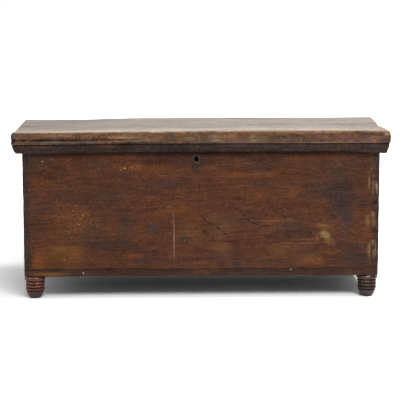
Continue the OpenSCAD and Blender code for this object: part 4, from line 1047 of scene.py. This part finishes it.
lid_specks = [
    ((-330, LID_Y, 519), (270, 10, 16), "#c8a576", 0.85), ((60, LID_Y, 512), (160, 10, 16), "#c2a276", 0.6),
    ((350, LID_Y, 514), (220, 10, 16), "#bd9473", 0.7)]
# planed pine, worn bare on top and dry: pale and streaky from low down, the pale partly a painted reflection,
# and dark and waxy along the edge
lid_pine = pine("waxed_pine_lid", "X", (455, -40), 6.0, "#684328", "#3e2517", "#583721", "#7c5027",
                marks=lid_marks, specks=lid_specks, bare=[(2, -1, LID[0][2] + 0.8, RAW)], worn="#9c6c40",
                contrast=0.9, grit=0.9, patch=0.38, tone=0.3, shine=0.36, gloss=0.8)
lid_board("worn_lid_board_front", LID[0][1], JOINT_Y, 71, lid_pine)
lid_board("worn_lid_board_rear", JOINT_Y, LID[1][1], 83, lid_pine)

# %% [markdown]
# ## The moulding below the lid
#
# A dark moulding is nailed under the lid's front and ends and drops over the case when the lid shuts. Its
# face is upright at the top and draws in below, a little faster the lower it gets. Three lengths meet in
# mitres at the front corners. Each is a block whose outer face is slid in by that rule, and it is cut to
# the mitre by stretching the rows of points: the further out a row lies, the longer it is. The lower edge
# has sagged at both ends, and the moulding follows the lid's droop at the left and its tuck at the right.

# %% Mouldings
DARK = BOX["lid_moulding_front"]
UPRIGHT, SWEEP = 5, 10.0
DROP = DARK[1][2] - DARK[0][2] - UPRIGHT


def draw_in(z):
    """How far the face has drawn in: the sweep times (depth below the upright part / drop) ** 1.3."""
    return SWEEP * np.clip((DARK[1][2] - UPRIGHT - z) / DROP, 0, 1) ** 1.3


def moulding(name, side, seed, material):
    """The front length has side 0; an end length is made the same way with x and y changing places."""
    width = DARK[1][1] - DARK[0][1]
    run = (DARK[0][0], DARK[1][0]) if side == 0 else (DARK[0][1], LID[1][1])
    zs = planes(DARK[0][2], DARK[1][2], 2.2, [DARK[1][2] - UPRIGHT])
    points, quads = skin(planes(*run, 7), planes(0, width, 5), zs)
    along, out, z = points.T
    box = np.array([[run[0], 0, DARK[0][2]], [run[1], width, DARK[1][2]]])
    radius = np.clip(1.5 + 0.9 * drift(points, (40, 30, 30), seed), 0.4, 4.5)
    moved = soften(points, box, np.where(out < width / 2, radius, 0.5))
    dent = np.clip(drift(points, (30, 30, 16), seed + 1) - 1.2, 0, 1) * 1.5
    depth = moved[:, 1] + (draw_in(z) + dent) * (1 - out / width)
    if side == 0:
        reach = LID[1][0] + LID[0][1] - (DARK[0][1] + depth)
        moved = np.stack([moved[:, 0] / DARK[1][0] * reach, DARK[0][1] + depth, moved[:, 2]], 1)
    else:
        x = DARK[1][0] - depth
        start_y = LID[0][1] + LID[1][0] - x
        along = run[1] - (run[1] - moved[:, 0]) * (run[1] - start_y) / (run[1] - run[0])
        moved = np.stack([side * x, along, moved[:, 2]], 1)
        if side > 0:
            quads = quads[:, ::-1]
    # the lower edge has sagged by 4.8 mm at the left and by 8 mm at the right
    sag = 4.8 * smooth(-moved[:, 0], 150, 600) + 8 * smooth(moved[:, 0], 440, 600)
    share = (DARK[1][2] - z) / (DARK[1][2] - DARK[0][2])
    moved[:, 2] -= sag * share + droop(moved[:, 0], moved[:, 1]) * (1 - share)
    moved[:, 0] -= tuck(moved[:, 0], moved[:, 2])
    foot = np.exp(-np.abs(z - DARK[0][2]) / 3) * (out < 1.5)
    crease = 0.8 * np.exp(-np.abs(z - DARK[1][2] + UPRIGHT) / 1.6) * (out < 1)
    wear = (foot + crease) * np.clip(0.5 + 0.4 * drift(points, (60, 60, 60), seed + 2), 0, 1)
    # a painted shadow along the top of the face, under the lid's bead
    dirt = np.clip(1 - (DARK[1][2] - z) / 4.5, 0, 1) * (out < 2)
    return make(name, moved, quads, "lid", "moulding_wood", material, wear=wear * 0.8, grime=dirt)


dark_marks = [((-470, DARK[0][1], 483), (60, 30, 10), "#3b2e29", 0.5, 1.6),
              ((560, DARK[0][1], 485), (50, 60, 12), "#3e3a2c", 0.6, 1.4),
              ((100, DARK[0][1], 487), (200, 30, 7), "#3d2722", 0.4, 1.6)]
STAIN = {"spring": "#42302a", "summer": "#281a15", "dull": "#332b28", "warm": "#55362a"}
# planed pine under a dark stain: nearly black, with fine pale streaks and a dull shine
LOOK = {**STAIN, "marks": dark_marks, "worn": "#6a5040", "contrast": 0.9, "grit": 0.9, "patch": 0.25,
        "lines": 0.5, "shine": 0.42}
dark_front = pine("stained_pine_moulding_front", "X", (480, -205), 3.0, **LOOK)
dark_end = pine("stained_pine_moulding_end", "Y", (480, 590), 3.0, **LOOK)
moulding("worn_lid_moulding_front", 0, 91, dark_front)
moulding("worn_lid_moulding_left", -1, 93, dark_end)
moulding("worn_lid_moulding_right", 1, 97, dark_end)

# %% [markdown]
# ## The keyhole escutcheon
#
# A U of grey worn metal is let into the front round the keyhole and stands out by six tenths of a
# millimetre. Both its outlines, the U outside and the slot inside, are written as a radius for every angle
# round one middle point. A narrow section then joins them: up the outer wall, over a softened rim, and
# down inside.

# %% Escutcheon
def outline_radius(points, middle, angle):
    """Distance from the middle to a closed outline, read off at each angle."""
    way = np.arctan2(points[:, 1] - middle[1], points[:, 0] - middle[0])
    order = np.argsort(way)
    return np.interp(angle, way[order], np.hypot(*(points - middle).T)[order], period=2 * np.pi)


def polyline(corners):
    """Many even points along straight runs between corners, closed."""
    corners = np.asarray(corners, float)
    t = np.linspace(0, 1, 60, endpoint=False)[None, :, None]
    return (corners[:, None] * (1 - t) + np.roll(corners, -1, 0)[:, None] * t).reshape(-1, 2)


def escutcheon(material, around=160):
    """Outline times section: point = middle + (outer radius to inner radius by the section's share)."""
    low, high = BOX["escutcheon"]
    x, half = KEY[0], (high[0] - low[0]) / 2
    arc = np.radians(np.linspace(180, 360, 40))
    bowl = np.stack([x + half * np.cos(arc), low[2] + half + half * np.sin(arc)], 1)
    ears = [[x + half, high[2] - 2], [x + half - 2, high[2]], [x - half + 2, high[2]], [x - half, high[2] - 2]]
    outer = polyline(np.concatenate([bowl, ears]))
    arc = np.radians(np.linspace(0, 180, 24))
    arch = np.stack([x + 6 * np.cos(arc), KEY_Z + 6 * np.sin(arc)], 1)
    foot = [[x - 6, KEY_Z - 11], [x - 5, KEY_Z - 12], [x + 5, KEY_Z - 12], [x + 6, KEY_Z - 11]]
    inner = polyline(np.concatenate([arch, foot]))
    middle = np.array([x, KEY_Z - 4])
    angle = np.linspace(-np.pi, np.pi, around, endpoint=False)
    share = np.array([0, 0, 0.06, 0.16, 0.5, 0.82, 0.93, 1, 1])[:, None]
    rise = low[1] + np.array([high[1] - low[1], 0.7, 0.22, 0.02, 0, 0.04, 0.3, 1, high[1] - low[1]])[:, None]
    radius = outline_radius(outer, middle, angle) * (1 - share) + outline_radius(inner, middle, angle) * share
    across, up = middle[0] + radius * np.cos(angle), middle[1] + radius * np.sin(angle)
    grid = np.stack([across, rise + 0 * radius, up], -1)
    grid[2:7, :, 1] += 0.08 * drift(grid[2:7].reshape(-1, 3), (7, 7, 7), 101).reshape(5, -1)
    index = np.arange(grid.shape[0] * around).reshape(-1, around)
    follow = np.roll(index, -1, 0)
    quads = np.stack([index, np.roll(index, -1, 1), np.roll(follow, -1, 1), follow], -1).reshape(-1, 4)
    return make("worn_escutcheon", grid.reshape(-1, 3), quads, "case", "escutcheon_iron", material, sharp=50)


def old_metal(name, base, second, rust, rough, metallic, grit_mm=5.0, bump_mm=0.12):
    """Metal with cloudy tone, specks of rust where a fine noise is high, and a relief that follows it. The
    grit is drawn coarser than real rust, which is under a millimetre, so that it shows."""
    material, tree, place = start(name)
    looks = {"Vector": place, "Scale": 1 / (grit_mm * 3), "Detail": 5.0, "Roughness": 0.6}
    clouds = add(tree, "MapRange", [add(tree, "TexNoise", looks), 0.35, 0.65])
    looks = {"Vector": place, "Scale": 1 / grit_mm, "Detail": 4.0, "Roughness": 0.7}
    grit = add(tree, "TexNoise", looks)
    specks = add(tree, "MapRange", [grit, 0.54, 0.70, 0.0, 0.8])
    colour = add(tree, "Mix", {0: clouds, 6: linear(base), 7: linear(second)}, out=2, data_type="RGBA")
    colour = add(tree, "Mix", {0: specks, 6: colour, 7: linear(rust)}, out=2, data_type="RGBA")
    tone = add(tree, "Math", [grit, 0.3, rough - 0.15], operation="MULTIPLY_ADD")
    surface(tree, colour, tone, grit, bump_mm, Metallic=metallic)
    return material


# sheet iron, filed and rubbed: grey and dull, with brown left in its pits
escutcheon(old_metal("filed_sheet_iron", "#604f49", "#483d39", "#3a2a22", 0.55, 0.7, 2.5, 0.08))

# %% [markdown]
# ## Inside the chest
#
# The inside never saw stain or wax: pale pine, dusty and a little brown with age. Two battens hold the
# lid's boards together, and a small open till sits at the left end. They are blocks of cells as well, and
# the battens' lower ends are drawn in to their chamfers.

# %% Battens and till
CHAMFER = 10
# planed pine, left raw: pale, dry and matt, with faint rings
inner_pine = pine("raw_pine_inside", "Y", (600, -120), 4.2, "#94704a", "#6d4c2f", "#7c6044", "#9a7348",
                  worn="#a58a66", contrast=0.6, shine=0.62)
for side in ("left", "right"):
    name = "batten_" + side
    box = BOX[name]
    zs = planes(box[0][2], box[1][2], 4, [box[0][2] + CHAMFER])
    points, quads = skin(planes(box[0][0], box[1][0], 8), planes(box[0][1], box[1][1], 9), zs)
    moved = soften(hollow(points, box, 0.2, (60, 180, 60), 103), box, 1.2)
    middle = box.mean(0)[1]
    chamfer = np.clip(CHAMFER - (points[:, 2] - box[0][2]), 0, CHAMFER)
    moved[:, 1] = middle + (moved[:, 1] - middle) * (1 - chamfer / (box[1][1] - middle))
    wear = edge_wear(points, box, 3, 103) * 0.6
    make("worn_" + name, moved, quads, "lid", "inner_pine", inner_pine, wear=wear)
plain_board("till_side", "inner_pine", inner_pine, radius=1.6, spread=0.6, seed=107)

# %% [markdown]
# ## Iron and steel
#
# Hinges and lock were forged, so their iron is dark and lightly rusted. The lock's bolt, spring, stump
# and key pin and the staple under the lid were filed and oiled, and stay brighter. These shapes are exact
# already. They keep their solids and only get the right metal, and the till's floor gets the raw pine.

# %% Materials for the solids that stay
# forged iron: nearly black, dull, with brown specks
iron = old_metal("forged_iron", "#46413c", "#322d2a", "#5a3a28", 0.62, 0.85)
# filed steel under oil: bright grey, with a clear shine
steel = old_metal("filed_steel", "#8b857c", "#6c665f", "#5a4433", 0.42, 1.0, 4.0, 0.06)
# nails and screws of cut iron: dark and a little rusty
heads = old_metal("cut_iron_fasteners", "#4d4741", "#37322e", "#5c3f2c", 0.55, 0.85, 2.0, 0.08)
dressed = []
for name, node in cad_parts.items():
    finish = inner_pine if name == "till_bottom" else None
    if name.startswith(("hinge_leaf", "hinge_strap", "hinge_pin", "lock_plate", "lock_case", "link_plate")):
        finish = iron
    if name in ("lock_bolt", "lock_spring", "lock_key_pin", "lock_stump", "link_staple"):
        finish = steel
    if name.endswith(("_screws", "_nails")):
        finish = heads
    if finish:
        dressed.append(name)
        for material_slot in node.material_slots:
            material_slot.material = finish
print("new finish on", len(dressed), "solids")
